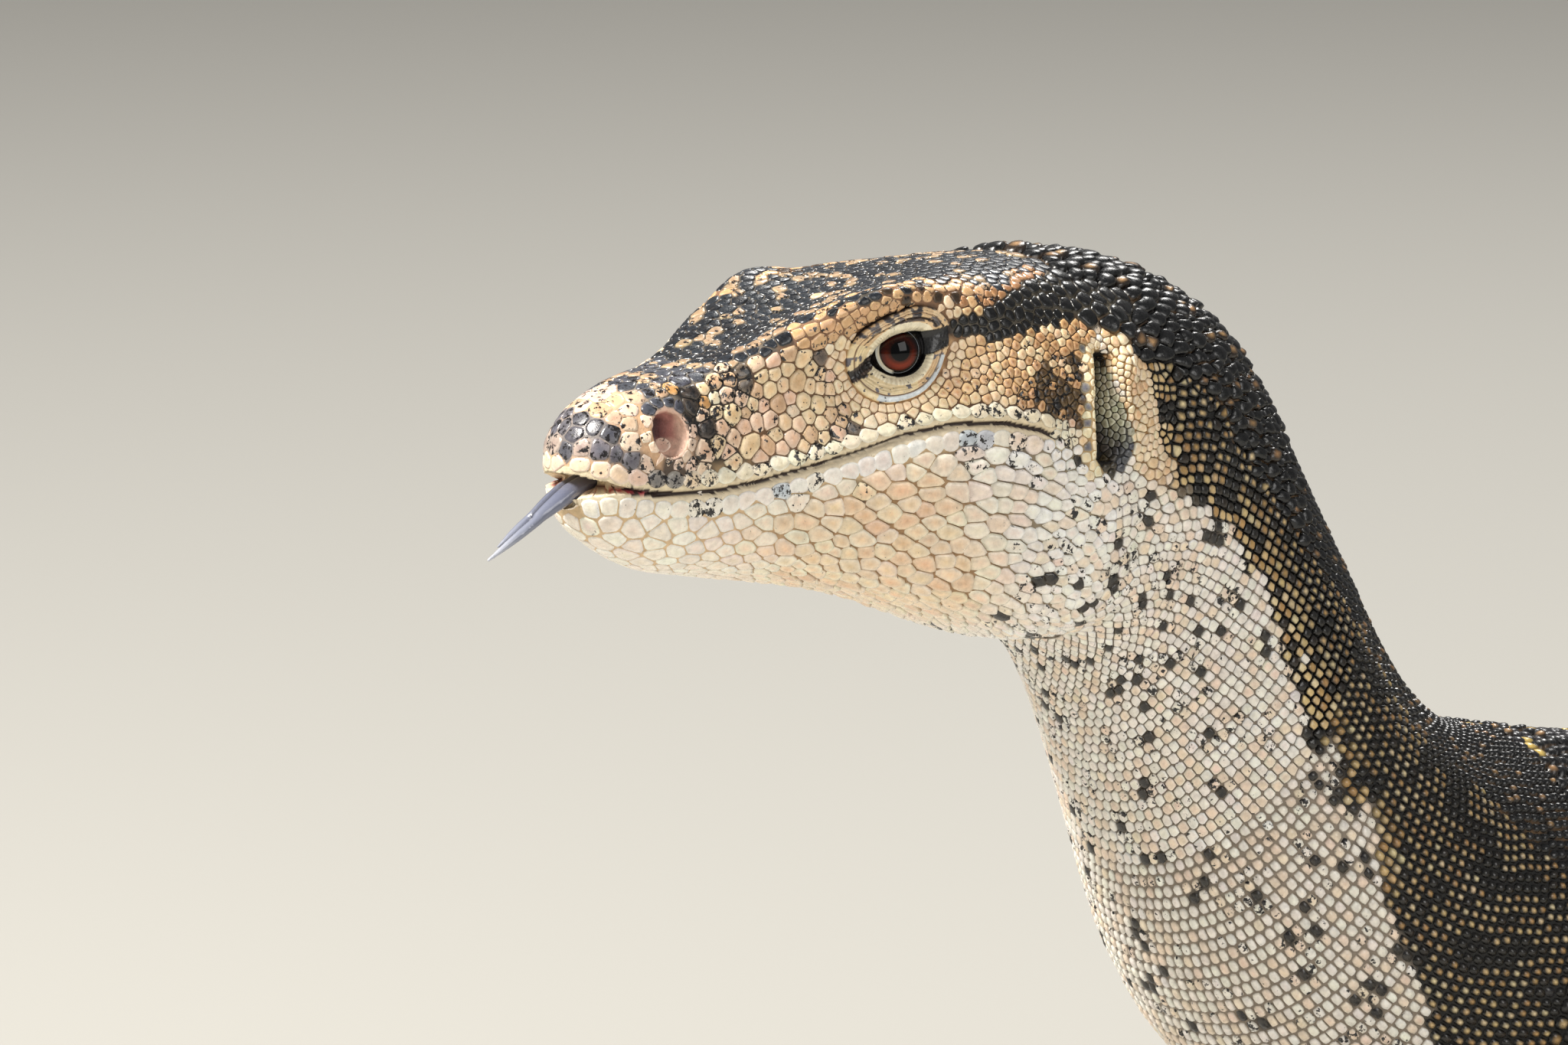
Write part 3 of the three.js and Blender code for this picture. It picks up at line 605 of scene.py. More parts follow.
def section_ring(row, heading, count=96):
    """A ring of places on a section, from the middle of the belly round by the left, and its angles."""
    angle = np.linspace(-math.pi / 2, 1.5 * math.pi, count, endpoint=False)
    lean = math.radians(row[3])
    left = np.array([heading[1], -heading[0], 0])
    top = np.array([heading[0] * math.sin(lean), heading[1] * math.sin(lean), math.cos(lean)])
    size = (abs(np.cos(angle)) ** ROUNDNESS + abs(np.sin(angle)) ** ROUNDNESS) ** (-1 / ROUNDNESS)
    tall = np.where(np.sin(angle) > 0, row[5], row[6])
    ring = row[:3] + np.outer(row[4] * size * np.cos(angle), left)
    return ring + np.outer(tall * size * np.sin(angle), top), angle


def scale_rows():
    """Places of the scales in rows, their angles round the section, their runs and the way back."""
    chance = np.random.default_rng(12)
    at, angles, runs, back = [], [], [], []
    s, odd = 2.0, False
    while s < run[-1] - 1.5:
        row, ahead, behind = (on_line(r, run, fine_spine) for r in (s, max(s - 6, 0), min(s + 6, run[-1])))
        heading = unit((behind - ahead)[:2])
        ring, angle = section_ring(row, heading)
        closed = np.vstack([ring, ring[:1]])
        lengths = run_of(closed)
        part = "neck" if s < NECK_RUN else "trunk" if s < VENT_RUN else "tail"
        shrink = min(1.0, 0.35 + 0.65 * (run[-1] - s) / TAPER_RUN) if part == "tail" else 1.0
        count = max(6, round(lengths[-1] / (ACROSS[part] * max(shrink, 0.6))))
        where = (np.arange(count) + 0.5 * odd + chance.normal(0, 0.07, count)) / count * lengths[-1]
        wide = np.append(angle, 1.5 * math.pi)
        at.append(on_line(where, lengths, closed))
        angles.append(np.interp(where, lengths, wide))
        runs.append(np.full(count, s))
        lean = math.radians(row[3])
        back.append(np.tile([*(heading * math.cos(lean)), -math.sin(lean)], (count, 1)))
        s += PITCH[part] * max(shrink, 0.42)
        odd = not odd
    return np.vstack(at), np.concatenate(angles), np.concatenate(runs), np.vstack(back)


def onto_skin(points):
    """The nearest places on the skin, the triangles they lie on and how far off they were."""
    found = [skin_solid.find_nearest(p) for p in points]
    at = np.array([f[0] for f in found])
    face = np.array([f[2] for f in found])
    return at, face, np.array([f[3] for f in found])


def shares_on(face, at):
    """How much each corner of a triangle of the skin counts at a place on it."""
    a, b, c = (places[triangles[face, k]] for k in range(3))
    n = np.cross(b - a, c - a)
    area = np.maximum((n * n).sum(1), 1e-12)
    wa = (np.cross(b - at, c - at) * n).sum(1) / area
    wb = (np.cross(c - at, a - at) * n).sum(1) / area
    return np.clip(np.stack([wa, wb, 1 - wa - wb], 1), 0, 1)[..., None]


row_at, row_angle, row_run, row_back = scale_rows()
row_at, _, row_off = onto_skin(row_at)
reached = (row_off < np.where(row_run < 60, 6.0, 3.5)) & (row_at[:, 1] > 118)
row_at, row_angle, row_run, row_back = (part[reached] for part in (row_at, row_angle, row_run, row_back))
print("rows hold", reached.sum(), "of", len(reached), "scales")

# %% [markdown]
# ## A crowd of scales
# A scale's size changes over the head: grains round the eye and in the temple, plates on the snout, the lips
# and the jaw. So each place is given the size its scale should have there, and a little chance, as the real
# ones vary. Rows that can't be left to chance, the lips and the rims of the ear and nostril, are set first.

# %% The sizes of scales on the head
BROW_LINE = [(4, 4), (10, 9), (20, 11.5), (30, 13), (40, 15.5), (50, 18), (60, 21), (70, 24), (84, 24.5),
             (95, 23.8), (108, 24.5), (120, 23)]


def head_scale_size(points):
    _, back, up = points.T
    lips = beside_lips(points)
    brow = beside(points, BROW_LINE)[0]
    size = np.full(len(points), 2.9)
    size = np.where(back > 70, 2.6 - 0.85 * ease(back, 72, 92), size)
    size = np.where((brow > 0) & (back > 28), 2.3, size)
    size = np.where(lips < 0, 3.5 - 1.4 * ease(back, 84, 112), size)
    size = np.where((lips < -14) & (back < 60), 2.9, size)
    size = np.where((back < 18) & (lips >= 0), 3.5, size)
    in_stripe = temple_stripe(points) > 0.5
    size = np.where(in_stripe, 1.9 + 1.1 * ease(up, 18, 22), size)
    near_eye = 1 - ease(from_lids(points), 1.0, 1.7)
    size = size + (np.where(brow > -3, 2.3, 1.8) - size) * near_eye
    near_ear = 1 - ease(from_pit(points, EAR, EAR_RADII), 0.9, 1.5)
    size = size + (1.25 - size) * near_ear
    return np.where((back > 114) & (beside(points, NAPE_LINE)[0] > 0), 3.5, size)


NAPE_LINE = [(113, 17.3), (118, 15.5), (121, 13.5), (124, 9.5), (131, 7.5), (142, 2), (156, -14)]
TEMPLE_LINE = [(76, 16.2), (84, 17.4), (92, 18.4), (100, 20.0), (113, 21), (124, 19)]


def temple_stripe(points):
    """1 inside the black band that runs from the eye over the ear, 0 outside it."""
    off, along = beside(points, TEMPLE_LINE)
    half = 2.0 + 1.7 * ease(along, 8, 26)
    inside = (abs(off) < half) & (points[:, 1] > 78) & (mirrored(points)[:, 0] > 12)
    return inside.astype(float)


# %% Set rows: labials along the lips, and rings round the openings
LEFT, RIGHT = np.array([1, 1, 1]), np.array([-1, 1, 1])
INWARD = np.array([-1, 0, 0])
RAY_FROM, RAY_LENGTH = 60, 120
SNOUT_ROUND = 15


def outside_at(points, towards, solid=skin_solid):
    """The first places of a surface met by rays from outside the head."""
    hits = []
    for point, ray in zip(points, towards):
        hit = solid.ray_cast(Vector(point - ray * RAY_FROM), Vector(ray), RAY_LENGTH)
        hits.append(hit[0] if hit[0] is not None else (np.nan,) * 3)
    return np.array(hits, float)


def on_both_sides(points, ray):
    """Where rays to places on the left meet the skin, and the same on the right."""
    sides = [outside_at(points * side, np.tile(ray * side, (len(points), 1))) for side in (LEFT, RIGHT)]
    return np.vstack(sides)


def row_round_lips(lip, offset, spacing):
    """Places at an even spacing from one corner of the mouth round the snout to the other."""
    behind = np.arange(100, SNOUT_ROUND, -0.8)
    turn = np.radians(np.arange(0, 181, 3))
    outward = np.vstack([
        np.tile([1, 0, 0], (len(behind), 1)),
        np.stack([np.cos(turn), -np.sin(turn), 0 * turn], 1),
        np.tile([-1, 0, 0], (len(behind), 1)),
    ])
    back = np.concatenate([behind, np.full(len(turn), SNOUT_ROUND), behind[::-1]])
    line = np.array([0 * back, back, read_off(lip, back) + offset]).T
    for _ in range(3):
        met = outside_at(line, -outward, head_solid)
        line[:, 2] = read_off(lip, met[:, 1]) + offset
    met = met[~np.isnan(met[:, 0]) & (np.hypot(met[:, 0], met[:, 1] - SNOUT_ROUND) > 9)]
    length = run_of(met)
    where = np.linspace(0, length[-1], round(length[-1] / spacing) + 1)
    return onto_skin(on_line(where, length, met))[0]


def ring_round(centre, radii, share, spacing):
    steps = round(2 * math.pi * share * (radii[1] + radii[2]) / 2 / spacing)
    angle = np.arange(steps) * 2 * math.pi / steps
    flat = np.array([0 * angle, share * radii[1] * np.cos(angle), share * radii[2] * np.sin(angle)]).T
    return on_both_sides(centre + flat, INWARD)


def lid_ring(share, spacing, start=-180, end=180):
    """Places round the lids, from one angle round the gaze to another."""
    turn = np.radians(np.linspace(start, end, 200))
    reach = share * reach_at(LID_EDGE, turn)
    edge = np.stack([reach * np.cos(turn), reach * np.sin(turn)], 1)
    length = run_of(edge)
    x, y = on_line(np.arange(0, length[-1], spacing), length, edge).T
    return on_both_sides(EYE_CENTRE + np.outer(x, EYE_BACK) + np.outer(y, EYE_UP), -EYE_LOOK)


def slit_marks(spacing, shift):
    up = np.arange(-9, 12, spacing)
    return on_both_sides(np.array([0 * up, read_off(EAR_SLIT, up) + shift, up]).T, INWARD)


def found(rows):
    rows = np.vstack(rows)
    return rows[~np.isnan(rows[:, 0])]


set_at = found([
    row_round_lips(UPPER_LIP, 1.9, 3.9), row_round_lips(LOWER_LIP, -2.5, 3.7), slit_marks(1.9, -2.7),
    ring_round(NOSTRIL, NOSTRIL_RADII, 1.3, 2.2), lid_ring(1.1, 1.7, -165, 5),
    lid_ring(1.19, 2.5, 28, 160),
])
edge_at = found([
    row_round_lips(UPPER_LIP, 0.35, 0.6), row_round_lips(LOWER_LIP, -0.45, 0.6), slit_marks(0.8, -1.4),
    slit_marks(0.8, 2.1), ring_round(NOSTRIL, NOSTRIL_RADII, 1.0, 0.7), lid_ring(1.0, 0.9),
])
LIP_SCALE = 3.8
by_lips = (abs(beside_lips(set_at)) < 3) & (set_at[:, 1] < 100)
set_size = np.where(by_lips, LIP_SCALE, head_scale_size(set_at))
print("set rows", len(set_at), "edge marks", len(edge_at))

# %% Scatter the crowds and push them even
rng = np.random.default_rng(31)
LIMB_SCALE = {"arm": 2.9, "foot": 2.0}


def scattered(chosen, size_of, tries):
    """Random places over chosen triangles, several for each scale that will stay."""
    picked = triangles[chosen]
    a, b, c = (places[picked[:, k]] for k in range(3))
    area = np.linalg.norm(np.cross(b - a, c - a), axis=1) / 2
    middle = (a + b + c) / 3
    need = area / size_of(middle) ** 2
    which = rng.choice(len(picked), size=int(need.sum() * tries), p=need / need.sum())
    u, v = rng.random((2, len(which), 1))
    over = u + v > 1
    u, v = np.where(over, 1 - u, u), np.where(over, 1 - v, v)
    return a[which] + u * (b - a)[which] + v * (c - a)[which]


def tree_of(points):
    tree = KDTree(len(points))
    for i, p in enumerate(points):
        tree.insert(p, i)
    tree.balance()
    return tree


def thinned(crowd, reach, kept_before):
    """Which of a crowd stay, when each clears a reach round it, as do the places kept before."""
    tree = tree_of(crowd)
    alive = np.ones(len(crowd), bool)
    for p, r in kept_before:
        for _, i, _ in tree.find_range(Vector(p), r):
            alive[i] = False
    keep = []
    for i, p in enumerate(crowd):
        if alive[i]:
            keep.append(i)
            for _, j, _ in tree.find_range(p, reach[i]):
                alive[j] = False
    return np.array(keep)


def neighbours(points, count, crowd):
    """The nearest others of each point in a crowd that holds it."""
    tree = tree_of(crowd)
    return np.array([[f[1] for f in tree.find_n(p, count + 1)][1:] for p in points])


def drawn_out(points):
    """How much longer than wide scales are: those on the side of the jaw and the nape lie along the head."""
    back = points[:, 1]
    jaw = ease(-beside_lips(points), 3, 6) * (1 - ease(back, 98, 114)) * ease(back, 6, 30)
    crown = ease(beside(points, BROW_LINE)[0], 0, 3) * ease(back, 26, 40) * (1 - ease(back, 100, 114))
    return 1 + 0.55 * jaw + 0.5 * crown + 0.2 * ease(back, 118, 128)


PUSHED_BY, CLEARANCE, PUSH_SHARE = 8, 0.52, 0.3


def pushed_apart(points, sizes, fixed, rounds):
    """Moves each free place away from those nearer than their sizes ask, and back onto the skin."""
    free = np.flatnonzero(~fixed)
    for _ in range(rounds):
        near = neighbours(points, PUSHED_BY, points)
        gap = points[:, None] - points[near]
        long = np.sqrt(drawn_out(points))[:, None]
        measured = gap * np.stack([long, 1 / long, long], -1)
        distance = np.maximum(np.linalg.norm(measured, axis=2, keepdims=True), 1e-6)
        wanted = CLEARANCE * (sizes[:, None] + sizes[near])[..., None]
        push = (gap / distance * np.maximum(wanted - distance, 0)).sum(1) * PUSH_SHARE
        points = points.copy()
        points[free] = onto_skin(points[free] + push[free])[0]
    return points


STARTING_REACH = {"set": 0.66, "free": 0.74}


def crowd_on(chosen, size_of, vary, before, before_sizes, rounds, tries):
    """An even crowd of scales on chosen triangles, round the ones that are set before it, and their sizes."""
    crowd = scattered(chosen, size_of, tries)
    sizes = size_of(crowd) * np.exp(rng.normal(0, 1, len(crowd)) * vary(crowd))
    order = rng.permutation(len(crowd))
    crowd, sizes = crowd[order], sizes[order]
    near = [(p, STARTING_REACH["set"] * s) for p, s in zip(before, before_sizes)]
    keep = thinned(crowd, STARTING_REACH["free"] * sizes, near)
    points = np.vstack([before, crowd[keep]])
    sizes = np.concatenate([before_sizes, sizes[keep]])
    fixed = np.arange(len(points)) < len(before)
    return pushed_apart(points, sizes, fixed, rounds), sizes


middles = places[triangles].mean(1)
centres = middles.tolist()
to_head, to_trunk, to_limb = (
    np.array([tree.find_nearest(p)[3] for p in centres]) for tree in (head_solid, trunk_solid, limb_solid)
)


def bare(points, spare=0.0):
    """Places without scales: mouth, edge of the lips, lids, nostrils and slits of the ears."""
    past_slit = past_ear_slit(points)
    in_slit = (past_slit > -1.5) & (past_slit < 2.2 - spare) & within(points[:, 2], -9, 12)
    share_up, gap_height = mouth_gap(points)
    in_mouth = (gap_height > 0.5) & within(share_up, -0.1, 1.1) & (points[:, 1] < 17)
    on_edge = (abs(beside_lips(points)) < 1.7 - spare) & (points[:, 1] < 101)
    in_nose = from_pit(points, NOSTRIL, NOSTRIL_RADII) < 1.12 - 0.1 * spare
    under_lids = from_lids(points) < 1.03 - 0.05 * spare
    return under_lids | in_slit & (mirrored(points)[:, 0] > 15) | in_mouth | in_nose | on_edge


on_nape = within(middles[:, 1], 112, 172) & (middles[:, 2] > -50)
on_nape &= beside(middles, NAPE_LINE)[0] > -1
head_faces = (to_head < np.minimum(to_trunk, to_limb)) | on_nape
head_faces &= ~bare(middles)
limb_faces = to_limb < np.minimum(to_head, to_trunk)
head_vary = lambda p: np.where((p[:, 1] < 60) & (p[:, 2] > -3), 0.16, 0.08)
head_at, head_size = crowd_on(head_faces, head_scale_size, head_vary, set_at, set_size, rounds=8, tries=7)
kept = (np.arange(len(head_at)) < len(set_at)) | ~bare(head_at, 0.5)
head_at, head_size = head_at[kept], head_size[kept]
print("head scales", len(head_at))


def limb_size_at(points):
    return LIMB_SCALE["foot"] + (LIMB_SCALE["arm"] - LIMB_SCALE["foot"]) * ease(points[:, 2], -186, -155)


limb_vary = lambda p: np.full(len(p), 0.07)
none_set = (np.zeros((0, 3)), np.zeros(0))
limb_at, limb_size = crowd_on(limb_faces, limb_size_at, limb_vary, *none_set, rounds=3, tries=5)
print("limb scales", len(limb_at))

# %% Gather every scale: its place, size, the way it lies and how it is shaped
crowds = np.vstack([head_at, limb_at])
crowd_tree = tree_of(crowds)
gap_to_crowd = np.array([crowd_tree.find(p)[2] for p in row_at])
row_size = np.select([row_run < NECK_RUN, row_run < VENT_RUN], [2.3, 3.35], 3.3)
to_tip = np.clip(0.3 + 0.7 * (run[-1] - row_run) / TAPER_RUN, 0.3, 1)
row_size = np.where(row_run > VENT_RUN, row_size * to_tip, row_size)
CLEAR_OF_CROWD = 0.62
open_row = gap_to_crowd > CLEAR_OF_CROWD * row_size
row_at, row_angle, row_run, row_back, row_size = (
    part[open_row] for part in (row_at, row_angle, row_run, row_back, row_size)
)
HEAD, LIMB, ROW = 0, 1, 2
at = np.vstack([head_at, limb_at, row_at])
size = np.concatenate([head_size, limb_size, row_size])
kind = np.repeat([HEAD, LIMB, ROW], [len(head_at), len(limb_at), len(row_at)])
along_run = np.concatenate([np.full(len(crowds), -1.0), row_run])
angle_at = np.concatenate([np.zeros(len(crowds)), row_angle])
ALONG_HEAD, DOWN_LIMB = [0, 1, -0.15], [0, 0.35, -1]
lie = np.vstack([np.tile(ALONG_HEAD, (len(head_at), 1)), np.tile(DOWN_LIMB, (len(limb_at), 1)), row_back])
_, face, _ = onto_skin(at)
share = shares_on(face, at)
out = unit((normals[triangles[face]] * share).sum(1))
root_uv = (corner_uv[face] * share).sum(1)
lie = unit(lie - out * (lie * out).sum(1, keepdims=True))
side = np.cross(out, lie)
NECK_DRAWN_OUT = 1.25
neck_rows = (kind == ROW) & (along_run < NECK_RUN)
slim = np.sqrt(np.where(kind == HEAD, drawn_out(at), np.where(neck_rows, NECK_DRAWN_OUT, 1.0)))
print("scales in all", len(at))

# %% [markdown]
# ## The shape of each scale
# Scales that grow side by side end where they meet, so each one's outline is a cell: in every direction it
# reaches as far as its share of the way to the neighbour there. Rings of points then raise a plate over the
# cell, with its rim sunk into the skin, a rounded shoulder and a crown that may tilt backwards.

# %% Cells: every scale grows until it meets its neighbours
NEARBY = 18
CORNER_SHARPNESS = 18.0
EDGE_MARK_RADIUS = 0.16
LARGEST_RADIUS = {"set": 0.66, "free": 0.9}
SMALLEST_RADIUS = 0.12
OUT_OF_REACH = 99


def cell_radii(chosen, directions, gap_half):
    """The radius of each chosen scale in each direction round it, in the plane of the skin."""
    spots = np.vstack([at, edge_at])
    weight = np.concatenate([size / 2, np.full(len(edge_at), EDGE_MARK_RADIUS)])
    facing = np.vstack([out, np.zeros((len(edge_at), 3))])
    near = neighbours(at[chosen], NEARBY, spots)
    gap = spots[near] - at[chosen][:, None]
    x = (gap * lie[chosen][:, None]).sum(2)
    y = (gap * side[chosen][:, None]).sum(2)
    length = np.maximum(np.hypot(x, y), 0.3)
    bent = np.clip(np.linalg.norm(gap, axis=2) / length, 1, 1.4)
    x, y = x * bent / slim[chosen][:, None], y * bent * slim[chosen][:, None]
    length = np.maximum(np.hypot(x, y), 0.3)
    own = weight[chosen][:, None]
    reach = length * own / (own + weight[near])
    turned_away = (facing[near] * out[chosen][:, None]).sum(2) < -0.3
    reach = np.where(turned_away, OUT_OF_REACH, reach)
    cap = np.where(chosen < len(set_at), LARGEST_RADIUS["set"], LARGEST_RADIUS["free"]) * size[chosen]
    inverse = (1 / cap)[:, None] ** CORNER_SHARPNESS * np.ones((1, len(directions)))
    for k, (dx, dy) in enumerate(directions):
        towards = np.maximum((x * dx + y * dy) / length, 0)
        inverse[:, k] += ((towards / reach) ** CORNER_SHARPNESS).sum(1)
    return np.maximum(inverse ** (-1 / CORNER_SHARPNESS) - gap_half[:, None], SMALLEST_RADIUS)


RINGS_NEAR = [(1.0, 0.0), (0.92, 0.72), (0.66, 0.95)]
RINGS_FAR = [(1.0, 0.0), (0.74, 0.72)]
CROWN_EDGE = 0.3
RIM_SINK = 0.14
PATCH_RADIUS = 0.0015
FLOOR_UP = float(from_frame([0, 0, 0])[2])


def coat_mesh(name, chosen, around, rings, look, conform):
    """One joined mesh of scales. A ring is its share of the radius and of the height."""
    chosen = np.asarray(chosen)
    turn = np.arange(around) * 2 * math.pi / around
    directions = np.stack([np.cos(turn), np.sin(turn)], 1)
    radii = cell_radii(chosen, directions, look["gap"][chosen])
    long = slim[chosen][:, None, None]
    flat = lie[chosen][:, None] * directions[:, :1] * long + side[chosen][:, None] * directions[:, 1:] / long
    rim = at[chosen][:, None] + flat * radii[..., None]
    if conform:
        settled, face, _ = onto_skin(rim.reshape(-1, 3))
        rim = settled.reshape(rim.shape)
    else:
        rim = rim - out[chosen][:, None] * (radii**2 / 30)[..., None]
    height = look["height"][chosen]
    count, per = len(chosen), around * len(rings) + 1
    points = np.empty((count, per, 3))
    colour = np.ones((count, per, 4), np.float32)
    patch = np.zeros((count, per, 2))
    for k, (share, rise) in enumerate(rings):
        lift = height * rise - (RIM_SINK if k == 0 else 0)
        tilt = look["tilt"][chosen][:, None] * share * directions[None, :, 0] * (k > 0)
        spot = at[chosen][:, None] * (1 - share) + rim * share
        spot = spot + out[chosen][:, None] * (lift[:, None] + tilt * height[:, None])[..., None]
        points[:, k * around : (k + 1) * around] = spot
        crown_share = np.clip((look["spread"] - share) / CROWN_EDGE, 0, 1)[:, None]
        inner = look["rim"] + (look["tone"] - look["rim"]) * crown_share
        shade = look["groove"] if k == 0 else inner
        colour[:, k * around : (k + 1) * around, :3] = shade[chosen][:, None]
        patch[:, k * around : (k + 1) * around] = directions * share * PATCH_RADIUS
    points[:, -1] = at[chosen] + out[chosen] * height[:, None]
    colour[:, -1, :3] = look["tone"][chosen]
    colour[..., 3] = look["blotch"][chosen][:, None]
    points[..., 2] = np.maximum(points[..., 2], FLOOR_UP)
    ring = np.arange(around)
    after = (ring + 1) % around
    once = np.stack([ring, after, around + after, around + ring], 1)
    quads = np.vstack([once + k * around for k in range(len(rings) - 1)])
    last = (len(rings) - 1) * around
    fan = np.stack([last + ring, last + after, np.full(around, per - 1)], 1)
    base = (np.arange(count) * per)[:, None, None]
    loops = np.concatenate([(quads + base).reshape(count, -1), (fan + base).reshape(count, -1)], 1).ravel()
    lengths = np.tile(np.concatenate([np.full(len(quads), 4), np.full(around, 3)]), count)
    starts = np.concatenate([[0], np.cumsum(lengths)[:-1]])
    mesh = bpy.data.meshes.new(name)
    mesh.vertices.add(count * per)
    mesh.vertices.foreach_set("co", to_frame(points.reshape(-1, 3)).astype(np.float32).ravel())
    mesh.loops.add(len(loops))
    mesh.loops.foreach_set("vertex_index", loops.astype(np.int32))
    mesh.polygons.add(len(lengths))
    mesh.polygons.foreach_set("loop_start", starts.astype(np.int32))
    mesh.polygons.foreach_set("loop_total", lengths.astype(np.int32))
    mesh.update(calc_edges=True)
    paint = mesh.color_attributes.new("tone", "FLOAT_COLOR", "POINT")
    paint.data.foreach_set("color", colour.ravel())
    uv = mesh.uv_layers.new(name="OFBake")
    spots = (look["root_uv"][chosen][:, None] + patch).reshape(-1, 2)[loops]
    uv.data.foreach_set("uv", spots.astype(np.float32).ravel())
    mesh.shade_smooth()
    mesh.calc_loop_triangles()
    print(name, count, "scales", len(mesh.loop_triangles), "triangles")
    return linked(name, mesh)


# %% [markdown]
# ## Markings
# One function colours the scales and the grooves between them, so they can't drift apart. It lays one
# marking over another in the order a painter would: the ground colour of each region, then its bands, bars
# and flecks, and painted shade on the scales of the ear's pit by its slit. Each scale has three colours, its
# crown, its edge and the groove round it.

# %% The markings of the head, neck, trunk, tail and limbs
BAR_STEP, BAND_STEP = 40.0, 56.0
OCELLUS_TURN, TRUNK_RADIUS = 24, 50
PIT_BACK = [(-12, 119.6), (-2, 119.4), (5, 118.4), (10, 117.2), (13.5, 116)]


def speckle(points, grain, seed):
    """Smooth chance over the surface, from about -0.6 to 0.6, in patches about a grain across."""
    shifted = np.asarray(points) / grain + seed * 17.3
    return np.array([noise.noise(p) for p in shifted.tolist()])


DARK_FLECK = ("#25221F", "#4A443C", "#2A2622")


